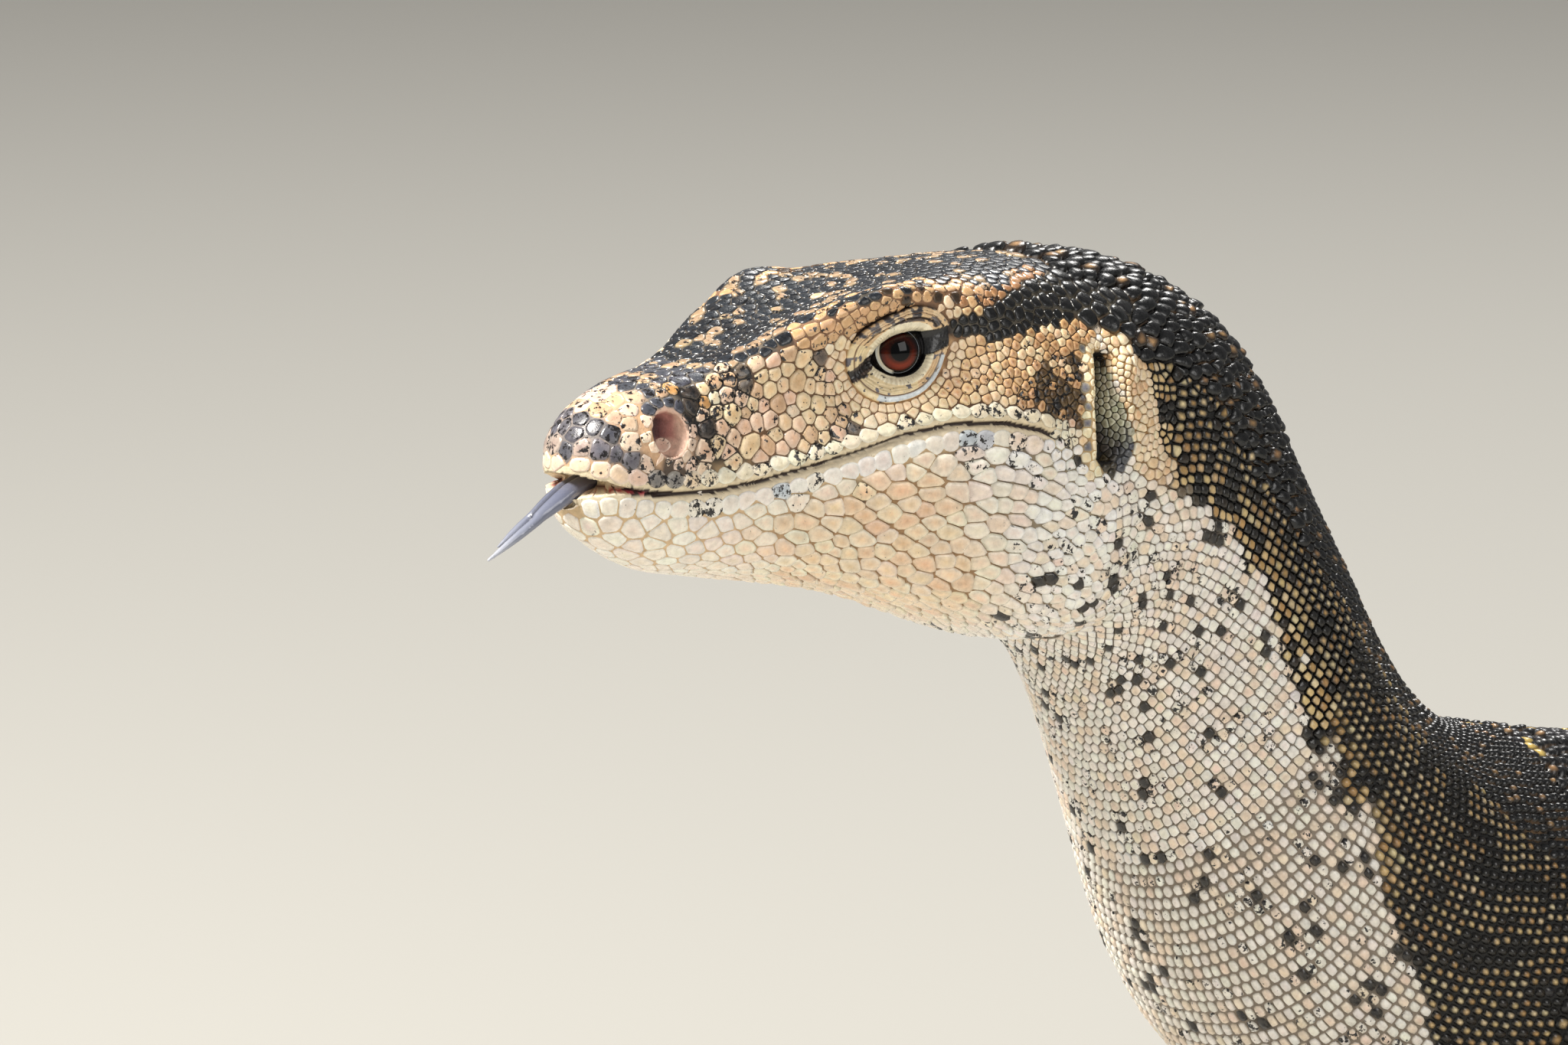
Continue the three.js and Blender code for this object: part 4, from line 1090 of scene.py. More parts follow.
def markings(points, kinds, runs, angles, chance):
    left, back, up = mirrored(points).T
    lips, brow = beside_lips(points), beside(points, BROW_LINE)[0]
    fold, nape = beside(points, FOLD_LINE)[0], beside(points, NAPE_LINE)[0]
    fine, broad = speckle(points, 3.2, 1), speckle(points, 7.5, 2)
    look = {key: np.zeros((len(points), 3)) for key in ("tone", "rim", "groove")}
    look |= {key: np.zeros(len(points)) for key in ("height", "tilt", "spread", "gap", "blotch")}

    def lay(mask, tone, rim, groove, height=None, tilt=0.0, spread=0.9, gap=0.08, blotch=0.0, share=1.0):
        amount = np.broadcast_to(share, len(points))[mask, None]
        for key, code in (("tone", tone), ("rim", rim), ("groove", groove)):
            if code:
                look[key][mask] += (linear(code) - look[key][mask]) * amount
        if height is not None:
            shape = {"height": height, "tilt": tilt, "spread": spread, "gap": gap, "blotch": blotch}
            for key, value in shape.items():
                look[key][mask] = value

    def some(share, shift=0.0):
        return (chance + shift) % 1.0 < share

    # Ground of the trunk and limbs: near black above, with yellow ocelli in rows, and pale below
    every = np.ones(len(points), bool)
    lay(every, "#17161A", "#232126", "#0C0C0E", 0.2, 0.25)
    turned = np.degrees(angles) - 90
    turned = np.abs((turned + 180) % 360 - 180)
    trunk, tail = (kinds == ROW) & (runs >= 120), (kinds == ROW) & (runs > VENT_RUN)
    lay(trunk & some(0.07), "#B9974F", "#6A5630", None)
    step = runs - BAR_STEP * np.round(runs / BAR_STEP)
    spot = turned - OCELLUS_TURN * np.round(turned / OCELLUS_TURN)
    spot = spot * math.pi / 180 * TRUNK_RADIUS
    ring = np.hypot(step + 2.5 * broad, spot + 2.5 * fine)
    lay(trunk & ~tail & (turned < 92) & within(ring, 2.4, 6.6), "#CDB266", "#A88C4A", "#3A301C")
    flank = trunk & ~tail & (turned > 84)
    wave = np.cos(2 * math.pi * (runs + 6 * broad) / BAR_STEP)
    past_neck = ease(runs + 30 * broad, 145, 215)
    bars = wave < 0.15 + (turned - 100) / 34 - 1.6 * (1 - past_neck)
    lay(flank & bars, "#D8C795", "#BFAE7E", "#6B5E40", 0.14)
    belly = trunk & (turned > 138)
    lay(belly, "#DCCFA6", "#C7B98F", "#8B7C5A", 0.1, 0.1)
    lay(belly & (wave > 0.72 + broad), "#4A4438", "#6A614C", "#3A342A", 0.1, 0.1)
    tail_wave = np.sin(2 * math.pi * (runs - VENT_RUN + 5 * broad) / BAND_STEP)
    lay(tail & (tail_wave > 0.45), "#C9AE66", "#A08848", "#3A301C", 0.18, 0.3)
    lay(tail & (tail_wave > 0.45) & some(0.2), "#4A3F28", "#5A4C30", None)
    limb = kinds == LIMB
    lay(limb, "#17171A", "#26252A", "#0D0D0F", 0.2, 0.2)
    lay(limb & (speckle(points, 8.5, 3) > 0.24), "#CBB068", "#8E7840", "#2E281A", 0.2, 0.2)
    lay(limb & some(0.05), "#BFA25A", "#77643A", None)
    lay(limb & (up < -193), "#3A3833", "#4A4740", "#22211E", 0.12)

    # The neck: shiny black beads over the nape, and yellow-centred beads on the sides
    neck = (kinds == ROW) & (runs + 40 * broad + 10 * fine < 165) | (kinds == HEAD) & (back > 112)
    side_of_neck = neck & (fold > -1)
    deep = ease(fold, 4, 34)
    lay(side_of_neck, "#E3C48C", "#15110D", "#0B0A09", 0.36, 0.15, 0.74, 0.15)
    look["spread"][side_of_neck] = (0.92 - 0.24 * ease(fold, 3, 14) - 0.1 * deep)[side_of_neck]
    lay(side_of_neck & some(0.35, 0.4), "#C29A62", None, None)
    lay(side_of_neck & some(0.15, 0.8), "#F2DCAE", None, None)
    lay(side_of_neck & (broad + 0.5 * fine + 0.2 * deep > 0.46), "#1B1814", "#141210", None)
    lay(side_of_neck & some(0.12, 0.1), "#2A2118", None, None)
    over = np.where(kinds == ROW, np.sin(angles) - 0.62, -9)
    top = neck & ((nape > 0) | (over > 0))
    lay(top, "#060709", "#0A0C0F", "#1A1613", 0.36, 0.45, 0.7, 0.12)
    lay(top & some(0.1), "#B08A60", "#2A2018", None, 0.4, 0.45, 0.5, 0.14)
    lay(top & some(0.3, 0.7), None, None, "#6A5238")
    ragged = fold + 3 * fine + 5 * broad * ease(-up, 20, 60)
    throat = neck & (ragged < 2.2) & (nape < 0) | neck & (kinds == ROW) & (turned > 150)
    lay(throat, "#F8F0E4", "#FDF9F2", "#8A7E70", 0.24, 0.1, 0.9, 0.08)
    lay(throat & some(0.3, 0.2), "#F5DEC6", "#FBEEDE", None)
    flecks = (speckle(points, 4, 6) > 0.26) & some(0.3, 0.7)
    freckled = np.clip(0.3 + 1.6 * speckle(points, 4, 6), 0, 1)
    look["blotch"][throat] = freckled[throat]
    lay(throat & flecks, *DARK_FLECK)
    behind_ear = (kinds != LIMB) & (back > 117) & within(up, -21, 16.5) & (nape < 0)
    ridge_behind_ear = behind_ear & (abs(fold) + fine < 3.8)
    fading = 1 - ease(-up + 3 * fine, 6, 20)
    lay(ridge_behind_ear, "#F8DAB2", "#FDEED2", "#9A7443", 0.32, 0.0, 0.9, 0.06, share=fading)
    lay(ridge_behind_ear & some(0.3, 0.6), "#F2C698", "#F8DDB4", None, share=fading)

    # The sides of the head: cream and tan plates
    head = (kinds == HEAD) & (back <= 116)
    lay(head, "#F2CB9A", "#FBE6C4", "#7A5838", 0.15, 0.0, 0.8, 0.05, 0.25)
    lay(head & some(0.3, 0.3), "#EEC09C", "#F8DCC4", None)
    lay(head & some(0.16, 0.55), "#D5AC84", "#E8C8A4", None)
    lay(head & some(0.12, 0.75), "#F8DDB8", "#FDF0D8", None)
    loreal = head & within(back, 24, 62) & (lips > 2)
    dark = 0.5 + 0.8 * broad + 0.4 * fine
    lay(loreal, None, None, "#1C1512", share=ease(dark - 0.014 * (back - 50), 0.3, 0.75))
    look["blotch"][loreal] = np.clip(1.05 - 0.016 * (back - 26) + 0.7 * broad, 0.2, 1.1)[loreal]
    lay(loreal & (dark > 0.72) & some(0.45), "#4A4038", "#857668", "#15110F")
    cheek = head & (back > 76) & (lips > 4) & (brow < 0)
    rear = ease(back, 78, 100)
    lay(cheek, "#C88F5C", "#F0CEA0", "#6A4626", 0.22, 0.05, 0.66, 0.05, 0.45)
    lay(cheek, "#96643A", "#D8AC7C", "#46301C", share=rear)
    lay(cheek & some(0.3, 0.6), "#E2B688", "#F2D8B0", None)
    shade = np.hypot((back - 105) / 8, (up - 1) / 7.5)
    lay(cheek & (shade + 0.8 * fine < 1.1) & some(0.75), "#3A2A1A", "#6A5234", "#15100C")
    look["blotch"][cheek & (shade < 1.4)] = 1.0
    under_eye = head & within(back, 60, 84) & (lips > 3) & (brow < -6)
    look["blotch"][under_eye] = np.clip(0.45 + 0.9 * broad, 0.2, 1)[under_eye]
    jaw = head & (lips < -0.2)
    lay(jaw, "#FFEEDC", "#FFF7EA", "#DDBE96", 0.07, 0.0, 0.85, 0.03)
    tan = jaw * ease(back + 4 * fine, 26, 58) * ease(-lips, 3, 8)
    lay(jaw, "#F8D8B0", "#FFF0D8", "#A8845C", 0.12, 0.0, 0.8, 0.03, share=tan)
    look["height"][jaw] = (0.06 + 0.11 * tan)[jaw]
    look["tilt"][jaw] = (0.8 * tan)[jaw]
    lay(jaw & some(0.3, 0.35), "#F0C096", "#FCE2C2", None, share=0.75 * tan)
    pale = jaw * ease(back + 0.5 * lips + 4 * fine, 66, 92)
    lay(jaw, "#FFF5EA", "#FFFCF6", "#94866F", share=pale)
    look["height"][jaw] += 0.08 * pale[jaw]
    look["gap"][jaw] += 0.04 * pale[jaw]
    lay(jaw & some(0.3, 0.2), "#F8DEC4", "#FDF0DE", None, share=0.8 * pale)
    gular = jaw & (back + 0.5 * lips > 80)
    look["blotch"][gular] = freckled[gular]
    lay(gular & flecks, *DARK_FLECK)
    labial = head & within(lips, 0, 3.4)
    lay(labial, "#FBEBCB", "#FFF6E2", "#A08662", 0.09, 0.0, 0.85, 0.04, 0.3)
    spotted = labial & (back > 22) & (broad + fine > -0.12)
    look["blotch"][spotted] = 1.0
    lay(spotted, None, None, "#4A423C", share=0.8)
    lay(spotted & some(0.16), "#6A6460", "#B0A490", "#1E1B19")
    lower_labial = head & within(lips, -5, 0) & (back < 92)
    lay(lower_labial, "#FFF1E2", "#FFFAF0", "#D8BC92", 0.05, 0.0, 0.85, 0.03)
    marked = lower_labial & (back > 24) & (broad + fine > 0.12)
    look["blotch"][marked] = 1.0
    lay(marked & some(0.3), "#C4CBD2", "#E4E8EA", "#6A6E78")
    second_row = jaw & within(lips, -9, -4) & within(back, 44, 96) & (broad > 0.05)
    lay(second_row, None, None, "#3A342F", share=0.7)
    look["blotch"][second_row] = 0.7

    # Above: slate plates, and the tan scales of the brow over a dark crease
    crown = head & (brow > 0) & (back > 24)
    lay(crown, "#1A1F26", "#30363F", "#62594E", 0.1, 0.0, 0.85, 0.05, 0.3)
    lay(crown & some(0.3, 0.05), "#101319", "#20252D", "#443F37")
    light = crown & (speckle(points, 4.5, 5) > -0.25) & some(0.3, 0.5)
    lay(light, "#A98C70", "#C6AC8C", None, 0.14, 0.0, 0.85, 0.07, 0.9)
    look["blotch"][crown & (back < 60)] = 0.8
    brow_top = 1.6 + 1.6 * (chance > 0.35)
    brow_row = head & (brow > -2.2) & (brow < brow_top) & within(back, 48, 92) & (left > 12.5)
    lay(brow_row, "#DDAE7C", "#E6BE92", "#8A664A", 0.12, 0.0, 0.85, 0.03, 0.7)
    lay(brow_row & (back > 66) & some(0.2, 0.3), "#30241A", "#5C4630", None)
    nose = head & (back <= 27) & (lips > 0)
    lay(nose, "#F8D8B8", "#FCE8D2", "#D8B08A", 0.05, 0.0, 0.85, 0.02, 0.45)
    lay(nose, "#DDB48C", "#EACBA8", None, share=ease(up + 2 * fine, 4, 8))
    look["blotch"][nose & (up > 3)] = 0.8
    lay(nose & some(0.3, 0.25), "#F2CDB4", "#F9E0D0", None)
    lay(nose & (lips > 4) & some(0.35, 0.6), "#BFA69E", "#D8C4B8", "#A08C84", share=0.35)
    bar = back + 0.25 * up
    first_bar = nose & (bar + 3 * fine > 2.4) & (bar + 4 * broad < 12.5) & (up + 2 * fine > 0.2) & (up < 8.5)
    lay(first_bar, "#62606A", "#7E7A80", "#A0928A", 0.05, 0.0, 0.75, 0.04, 1.0)
    lay(first_bar & some(0.35, 0.4), "#484852", "#64626A", "#77706E")
    lay(first_bar & some(0.16, 0.8), "#A8948C", "#BDAAA0", None)
    second_bar = (nose | crown) & (bar + 5 * fine > 20) & (back < 34) & (up > 8)
    lay(second_bar, "#3A3E48", "#585A64", "#7E766C", 0.08, 0.0, 0.8, 0.05, 0.9)
    lay(second_bar & some(0.3, 0.2), "#BD9A7C", "#D6B896", None)
    nose_bar = head & (abs(back - 27.5 + 0.2 * (up - 4)) < 3.0) & within(up, -2, 12)
    lay(nose_bar, None, None, "#15110F")
    look["blotch"][nose_bar] = 1.0
    lay(nose_bar & (up > 4) & some(0.5), "#2A2522", "#554B44", None)
    lay(nose_bar & (up > 8) & some(0.3, 0.5), "#C98F52", "#DDAE74", None)
    muzzle = head & within(lips, 0.5, 8) & within(back, 12, 36) & (speckle(points, 5, 11) > 0.06)
    look["blotch"][muzzle] = 1.1
    lay(muzzle, None, None, "#1A1614", share=0.85)
    lay(muzzle & some(0.25, 0.15), "#84807C", "#ACA498", None)
    stripe = (temple_stripe(points) > 0.5) & (kinds != LIMB)
    lay(stripe, "#040506", "#0C0D10", "#5E574A", 0.2, 0.0, 0.8, 0.09)
    over_stripe = head & (back > 84) & ~stripe & (left > 12)
    over_stripe &= abs(beside(points, TEMPLE_LINE)[0] - 4.4) < 1.0
    lay(over_stripe & some(0.6), "#A0714A", "#BC9068", "#3E2C20", 0.18, 0.0, 0.8, 0.08, 0.8)

    # Round the ear and the eye
    slit = past_ear_slit(points)
    by_ear = (kinds == HEAD) & within(up, -11, 13.5) & (left > 15)
    lay(by_ear & within(slit, -4.4, 0), "#F8E2B8", "#FEF2D6", "#C9A877", 0.1, 0.0, 0.85, 0.03)
    lay(by_ear & within(slit, -4.6, -2.8) & some(0.35), "#5E6070", "#B7A888", None)
    in_pit = by_ear & (slit > 0) & (back < read_off(PIT_BACK, up))
    lay(in_pit, "#B4B292", "#DEDCC4", "#4A4534", 0.3, 0.2, 0.7, 0.05)
    lay(in_pit, "#3A3C40", "#5E6066", "#15161A", share=ease(-up - 1 + 4 * fine, 0, 5))
    # Painted shade: the pit's scales darken towards the slit, for the shade that its front rim casts there.
    lay(in_pit, "#2A241A", "#4A4232", "#15110C", share=1 - ease(slit, 2.4, 4.2))
    near = (kinds == HEAD) & (from_lids(points) < 1.3) & (brow < -1.5) & ~stripe
    lay(near, "#F0CB9E", "#FBE4C2", "#8A6644", 0.16, 0.0, 0.7, 0.05, 0.15)
    return look


look = markings(at, kind, along_run, angle_at, rng.random(len(at)))
look["height"] = look["height"] * size
LIGHTNESS_SPREAD, HUE_SPREAD = 0.06, 0.02
for key in ("tone", "rim"):
    lighter = rng.normal(0, LIGHTNESS_SPREAD, (len(at), 1)) + rng.normal(0, HUE_SPREAD, (len(at), 3))
    look[key] = np.minimum(look[key] * np.exp(lighter), 1)
look["root_uv"] = root_uv

# %% Build the coat in pieces under 200,000 triangles
jaw_side = (beside_lips(at) < 0) & (kind == HEAD)
top_side = (kind == HEAD) & ~jaw_side
MID_BACK = (at[kind == LIMB, 1].min() + at[kind == LIMB, 1].max()) / 2
fore_side = at[:, 1] < MID_BACK


def rows_between(start, end):
    return (kind == ROW) & (along_run >= start) & (along_run < end)


PIECES = {
    "scales_snout": (top_side & (at[:, 1] < 74), 16, RINGS_NEAR, True),
    "scales_temple": (top_side & (at[:, 1] >= 74), 14, RINGS_NEAR, True),
    "scales_jaw": (jaw_side, 16, RINGS_NEAR, True),
    "scales_neck": (rows_between(0, 70), 12, RINGS_NEAR, True),
    "scales_chest": (rows_between(70, 250), 10, RINGS_FAR, False),
    "scales_belly": (rows_between(250, 440), 10, RINGS_FAR, False),
    "scales_rump": (rows_between(440, 700), 10, RINGS_FAR, False),
    "scales_tail": (rows_between(700, 1000), 10, RINGS_FAR, False),
    "scales_tail_end": (rows_between(1000, run[-1]), 10, RINGS_FAR, False),
    "scales_forelimbs": ((kind == LIMB) & fore_side, 9, RINGS_FAR, True),
    "scales_hindlimbs": ((kind == LIMB) & ~fore_side, 9, RINGS_FAR, True),
}
coat = [
    coat_mesh(name, np.flatnonzero(chosen), around, rings, look, conform)
    for name, (chosen, around, rings, conform) in PIECES.items()
]

# %% [markdown]
# ## Skin colours and its bake map
# The skin shows only in the grooves, so each of its points takes the groove colour of the scale that covers
# it. The same unwrap serves the skin and the coat: each scale's patch lies where its root does.

# %% Paint the skin
scale_tree = tree_of(at)
covering = np.array([scale_tree.find(p)[1] for p in places])
skin_colour = np.zeros((len(places), 4), np.float32)
skin_colour[:, :3] = look["groove"][covering]


# Gives skin points one colour: their own colours, and at some places painted shade.
def paint_colour_and_shade(mask, code):
    skin_colour[mask, :3] = linear(code)


share_up, gap_height = mouth_gap(places)
from_lips = beside_lips(places)
by_lips = on_head(places) & (places[:, 1] < 104)
paint_colour_and_shade(by_lips & within(from_lips, 0, 1.7), "#EAD9B8")
paint_colour_and_shade(by_lips & within(from_lips, -1.7, 0), "#F2E2C4")
# Painted shade: a dark line where the shut lips meet, for the shade in the groove between them.
paint_colour_and_shade(by_lips & (abs(from_lips) < 0.42) & (gap_height < 0.8), "#2E1E18")
gape = (gap_height > 0.5) & within(share_up, 0.04, 0.97) & (places[:, 1] < 22) & on_head(places)
paint_colour_and_shade(gape, "#B8444C")
# Painted shade: the upper part of the open mouth is painted dark, for the shade under the upper jaw.
paint_colour_and_shade(gape & (share_up > 0.6), "#4A181C")
in_nostril = from_pit(places, NOSTRIL, NOSTRIL_RADII)
paint_colour_and_shade(in_nostril < 1.15, "#EBC6B2")
paint_colour_and_shade(in_nostril < 0.92, "#B98078")
# Painted shade: the front of the nostril's hollow is painted maroon and, nearer its middle, black, for the
# shade under its rim.
from_middle = (places[:, 1:] - NOSTRIL[1:] + [1.1, 0]) / NOSTRIL_RADII[1:]
from_nostril_shade = np.hypot(*from_middle.T)
paint_colour_and_shade((in_nostril < 0.98) & (from_nostril_shade < 0.8), "#5A2A2C")
paint_colour_and_shade((in_nostril < 0.98) & (from_nostril_shade < 0.6), "#180A0C")
past_slit = past_ear_slit(places)
in_ear = within(places[:, 2], -9.5, 12) & (abs(places[:, 0]) > 15)
paint_colour_and_shade(in_ear & within(past_slit, -2, -0.4), "#EAD4A6")
# Painted shade: the bare slit of the ear is painted near black, for the deep shade inside it.
paint_colour_and_shade(in_ear & within(past_slit, -0.4, 2.5), "#17120D")
above_eye = eye_view(places)[:, 1] > 2.5
# Painted shade: the skin at the edge of the lids is dark above the eye, for the shade where the upper lid
# meets the scales; below the eye it is tan.
paint_colour_and_shade((from_lids(places) < 1.02) & above_eye, "#2E2018")
paint_colour_and_shade((from_lids(places) < 1.02) & ~above_eye, "#C49C70")
skin.data.color_attributes.new("tone", "FLOAT_COLOR", "POINT").data.foreach_set("color", skin_colour.ravel())

# %% [markdown]
# ## Materials of the coat
# Scales are beta keratin, hard and a little clear like a fingernail: their own mottled colour shows through
# a thin wet coat, which throws back small sharp lights. Fine granules break the shine up.

# %% Keratin scales and bare skin
def painted_skin(name, grain, relief, dull, wet):
    """A surface in the tone painted on its points, painted shade included, mottled, with granules of a size
    in millimetres.
    """
    made, shader = material(name, Coat_Weight=wet, Coat_Roughness=0.08, IOR=1.54)
    tree = made.node_tree
    where = add(tree, "TexCoord").outputs["Object"]
    at_mm = add(tree, "VectorMath", {"operation": "SCALE"}, Scale=1000.0, _0=where)
    painted = add(tree, "VertexColor", {"layer_name": "tone"}).outputs
    patches = add(tree, "TexNoise", Vector=at_mm, Scale=0.75, Detail=3.0, Roughness=0.65)
    patches = add(tree, "Math", {"operation": "MULTIPLY_ADD"}, _0=painted["Alpha"], _1=0.17, _2=patches)
    dark = add(tree, "MapRange", Value=patches, From_Min=0.69, From_Max=0.74)
    slate = (*linear("#1B181A"), 1)
    tone = add(tree, "Mix", {"data_type": "RGBA"}, _0=dark, _6=painted["Color"], _7=slate)
    mottle = add(tree, "TexNoise", Vector=at_mm, Scale=0.9, Detail=4.0)
    granules = add(tree, "TexNoise", Vector=at_mm, Scale=1 / grain, Detail=2.0)
    middling = {"From_Min": 0.3, "From_Max": 0.7}
    lightness = add(tree, "MapRange", Value=mottle, **middling, To_Min=0.84, To_Max=1.12)
    mixed = add(tree, "VectorMath", {"operation": "SCALE"}, _0=tone, Scale=lightness)
    rough = add(tree, "MapRange", Value=granules, **middling, To_Min=dull - 0.1, To_Max=dull + 0.12)
    bump = add(tree, "Bump", Height=granules, Strength=relief, Distance=0.0002)
    feed(shader, Base_Color=mixed, Roughness=rough, Normal=bump)
    return made


keratin = painted_skin("beta_keratin_scales", 0.5, 0.3, 0.3, 0.2)
thin_skin = painted_skin("thin_skin_between_scales", 0.4, 0.5, 0.6, 0.1)
lid_skin = painted_skin("wrinkled_bare_lid_skin", 0.45, 0.6, 0.38, 0.4)

# %% [markdown]
# ## Eyes
# A monitor's eye is a ball with a round pupil, a red-brown iris and a dark rim, behind a clear cornea. The
# iris needs no geometry of its own: each point of the ball knows its angle from the gaze, and a ramp
# colours it.

# %% Eyes
GAZE = unit(EYE_LOOK - 0.015 * EYE_BACK + 0.055 * EYE_UP)
EYE_RADIUS = 6.75
CORNEA_BULGE = {"height": 0.4, "reach": 40}


def eye_ball(name, side):
    """A ball whose points know their angle from the gaze, how high they look and how far ahead."""
    bm = bmesh.new()
    bmesh.ops.create_uvsphere(bm, u_segments=64, v_segments=48, radius=1)
    turn = Vector(GAZE * side).to_track_quat("Z", "Y")
    layers = {key: bm.verts.layers.float.new(key) for key in ("gaze", "rise", "ahead")}
    centre = Vector(to_frame(EYE_CENTRE * side))
    for vert in bm.verts:
        angle = math.degrees(math.acos(max(-1, min(1, vert.co.z))))
        bulge = CORNEA_BULGE["height"] * max(0, 1 - (angle / CORNEA_BULGE["reach"]) ** 2) ** 2
        direction = turn @ vert.co
        vert[layers["gaze"]] = angle
        vert[layers["rise"]] = direction.z
        vert[layers["ahead"]] = -(EYE_BACK * side) @ np.array(direction)
        vert.co = centre + direction * (EYE_RADIUS + bulge) * MM
    made = from_bmesh(name, bm)
    made.data.shade_smooth()
    return made


def ramp_through(tree, value, stops, reach):
    """A colour that runs through stops, whose places count up to a reach."""
    ramp = add(tree, "ValToRGB", Fac=value)
    elements = ramp.color_ramp.elements
    while len(elements) < len(stops):
        elements.new(0.5)
    for element, (place, code) in zip(elements, stops):
        element.position = place / reach
        element.color = (*linear(code), 1)
    return ramp


cornea, shader = material("clear_cornea_over_iris", Roughness=0.03, IOR=1.34)
tree = cornea.node_tree
gaze, rise, ahead = (
    add(tree, "Attribute", {"attribute_name": key}).outputs["Fac"]
    for key in ("gaze", "rise", "ahead")
)
RAMP_END = 60.0
share = add(tree, "Math", {"operation": "DIVIDE"}, _0=gaze, _1=RAMP_END)
IRIS = [(0, "#010204"), (14.4, "#010204"), (15.2, "#34160C"), (22, "#5A1C08"), (29, "#3C0F05"),
        (31.8, "#0C0403")]
BEHIND = [*IRIS, (33.2, "#070606"), (35.2, "#070606"), (35.9, "#8C9299"), (36.8, "#0A0809"),
          (RAMP_END, "#0A0809")]
AHEAD = [*IRIS, (32.4, "#2A1812"), (33.2, "#E9DFC8"), (38.6, "#DDE2DE"), (39.6, "#15100E"),
         (RAMP_END, "#15100E")]
at_back, at_front = (ramp_through(tree, share, stops, RAMP_END) for stops in (BEHIND, AHEAD))
front_share = add(tree, "MapRange", Value=ahead, From_Min=0.16, From_Max=0.24)
ball = add(tree, "Mix", {"data_type": "RGBA"}, _0=front_share, _6=at_back, _7=at_front)
where = add(tree, "TexCoord").outputs["Object"]
fibres = add(tree, "TexNoise", Vector=where, Scale=2200.0, Detail=3.0)
# Painted light and shade: inside the iris the colour is scaled by its fibres and by how low each point looks,
# from about a third at the top to over three times at the bottom, for the light falling on its lower half and
# the shade at its top.
painted_light_below = add(tree, "MapRange", Value=rise, From_Min=-0.45, From_Max=0.16, To_Min=2.9, To_Max=0.0)
fibres_and_painted_light = add(tree, "Math", {"operation": "MULTIPLY_ADD"}, _0=fibres, _1=0.7, _2=painted_light_below)
in_iris = add(tree, "MapRange", Value=gaze, From_Min=31.5, From_Max=32.5, To_Min=1.0, To_Max=0.0)
gain = add(tree, "Mix", _0=in_iris, _2=1.0, _3=fibres_and_painted_light)
feed(shader, Base_Color=add(tree, "VectorMath", {"operation": "SCALE"}, _0=ball, Scale=gain))
eyes = [eye_ball("eyeball_left", LEFT), eye_ball("eyeball_right", RIGHT)]

# %% [markdown]
# ## Lids
# The lids are bare, finely wrinkled skin that slides over the ball: a ribbed rim, a crease or two and then
# the scales. Each pair is one sheet of rings from the almond of the opening out to the scales round the eye.

# %% Lids
LID_AROUND, LID_RINGS = 300, 40
OVER_BALL = 7.0


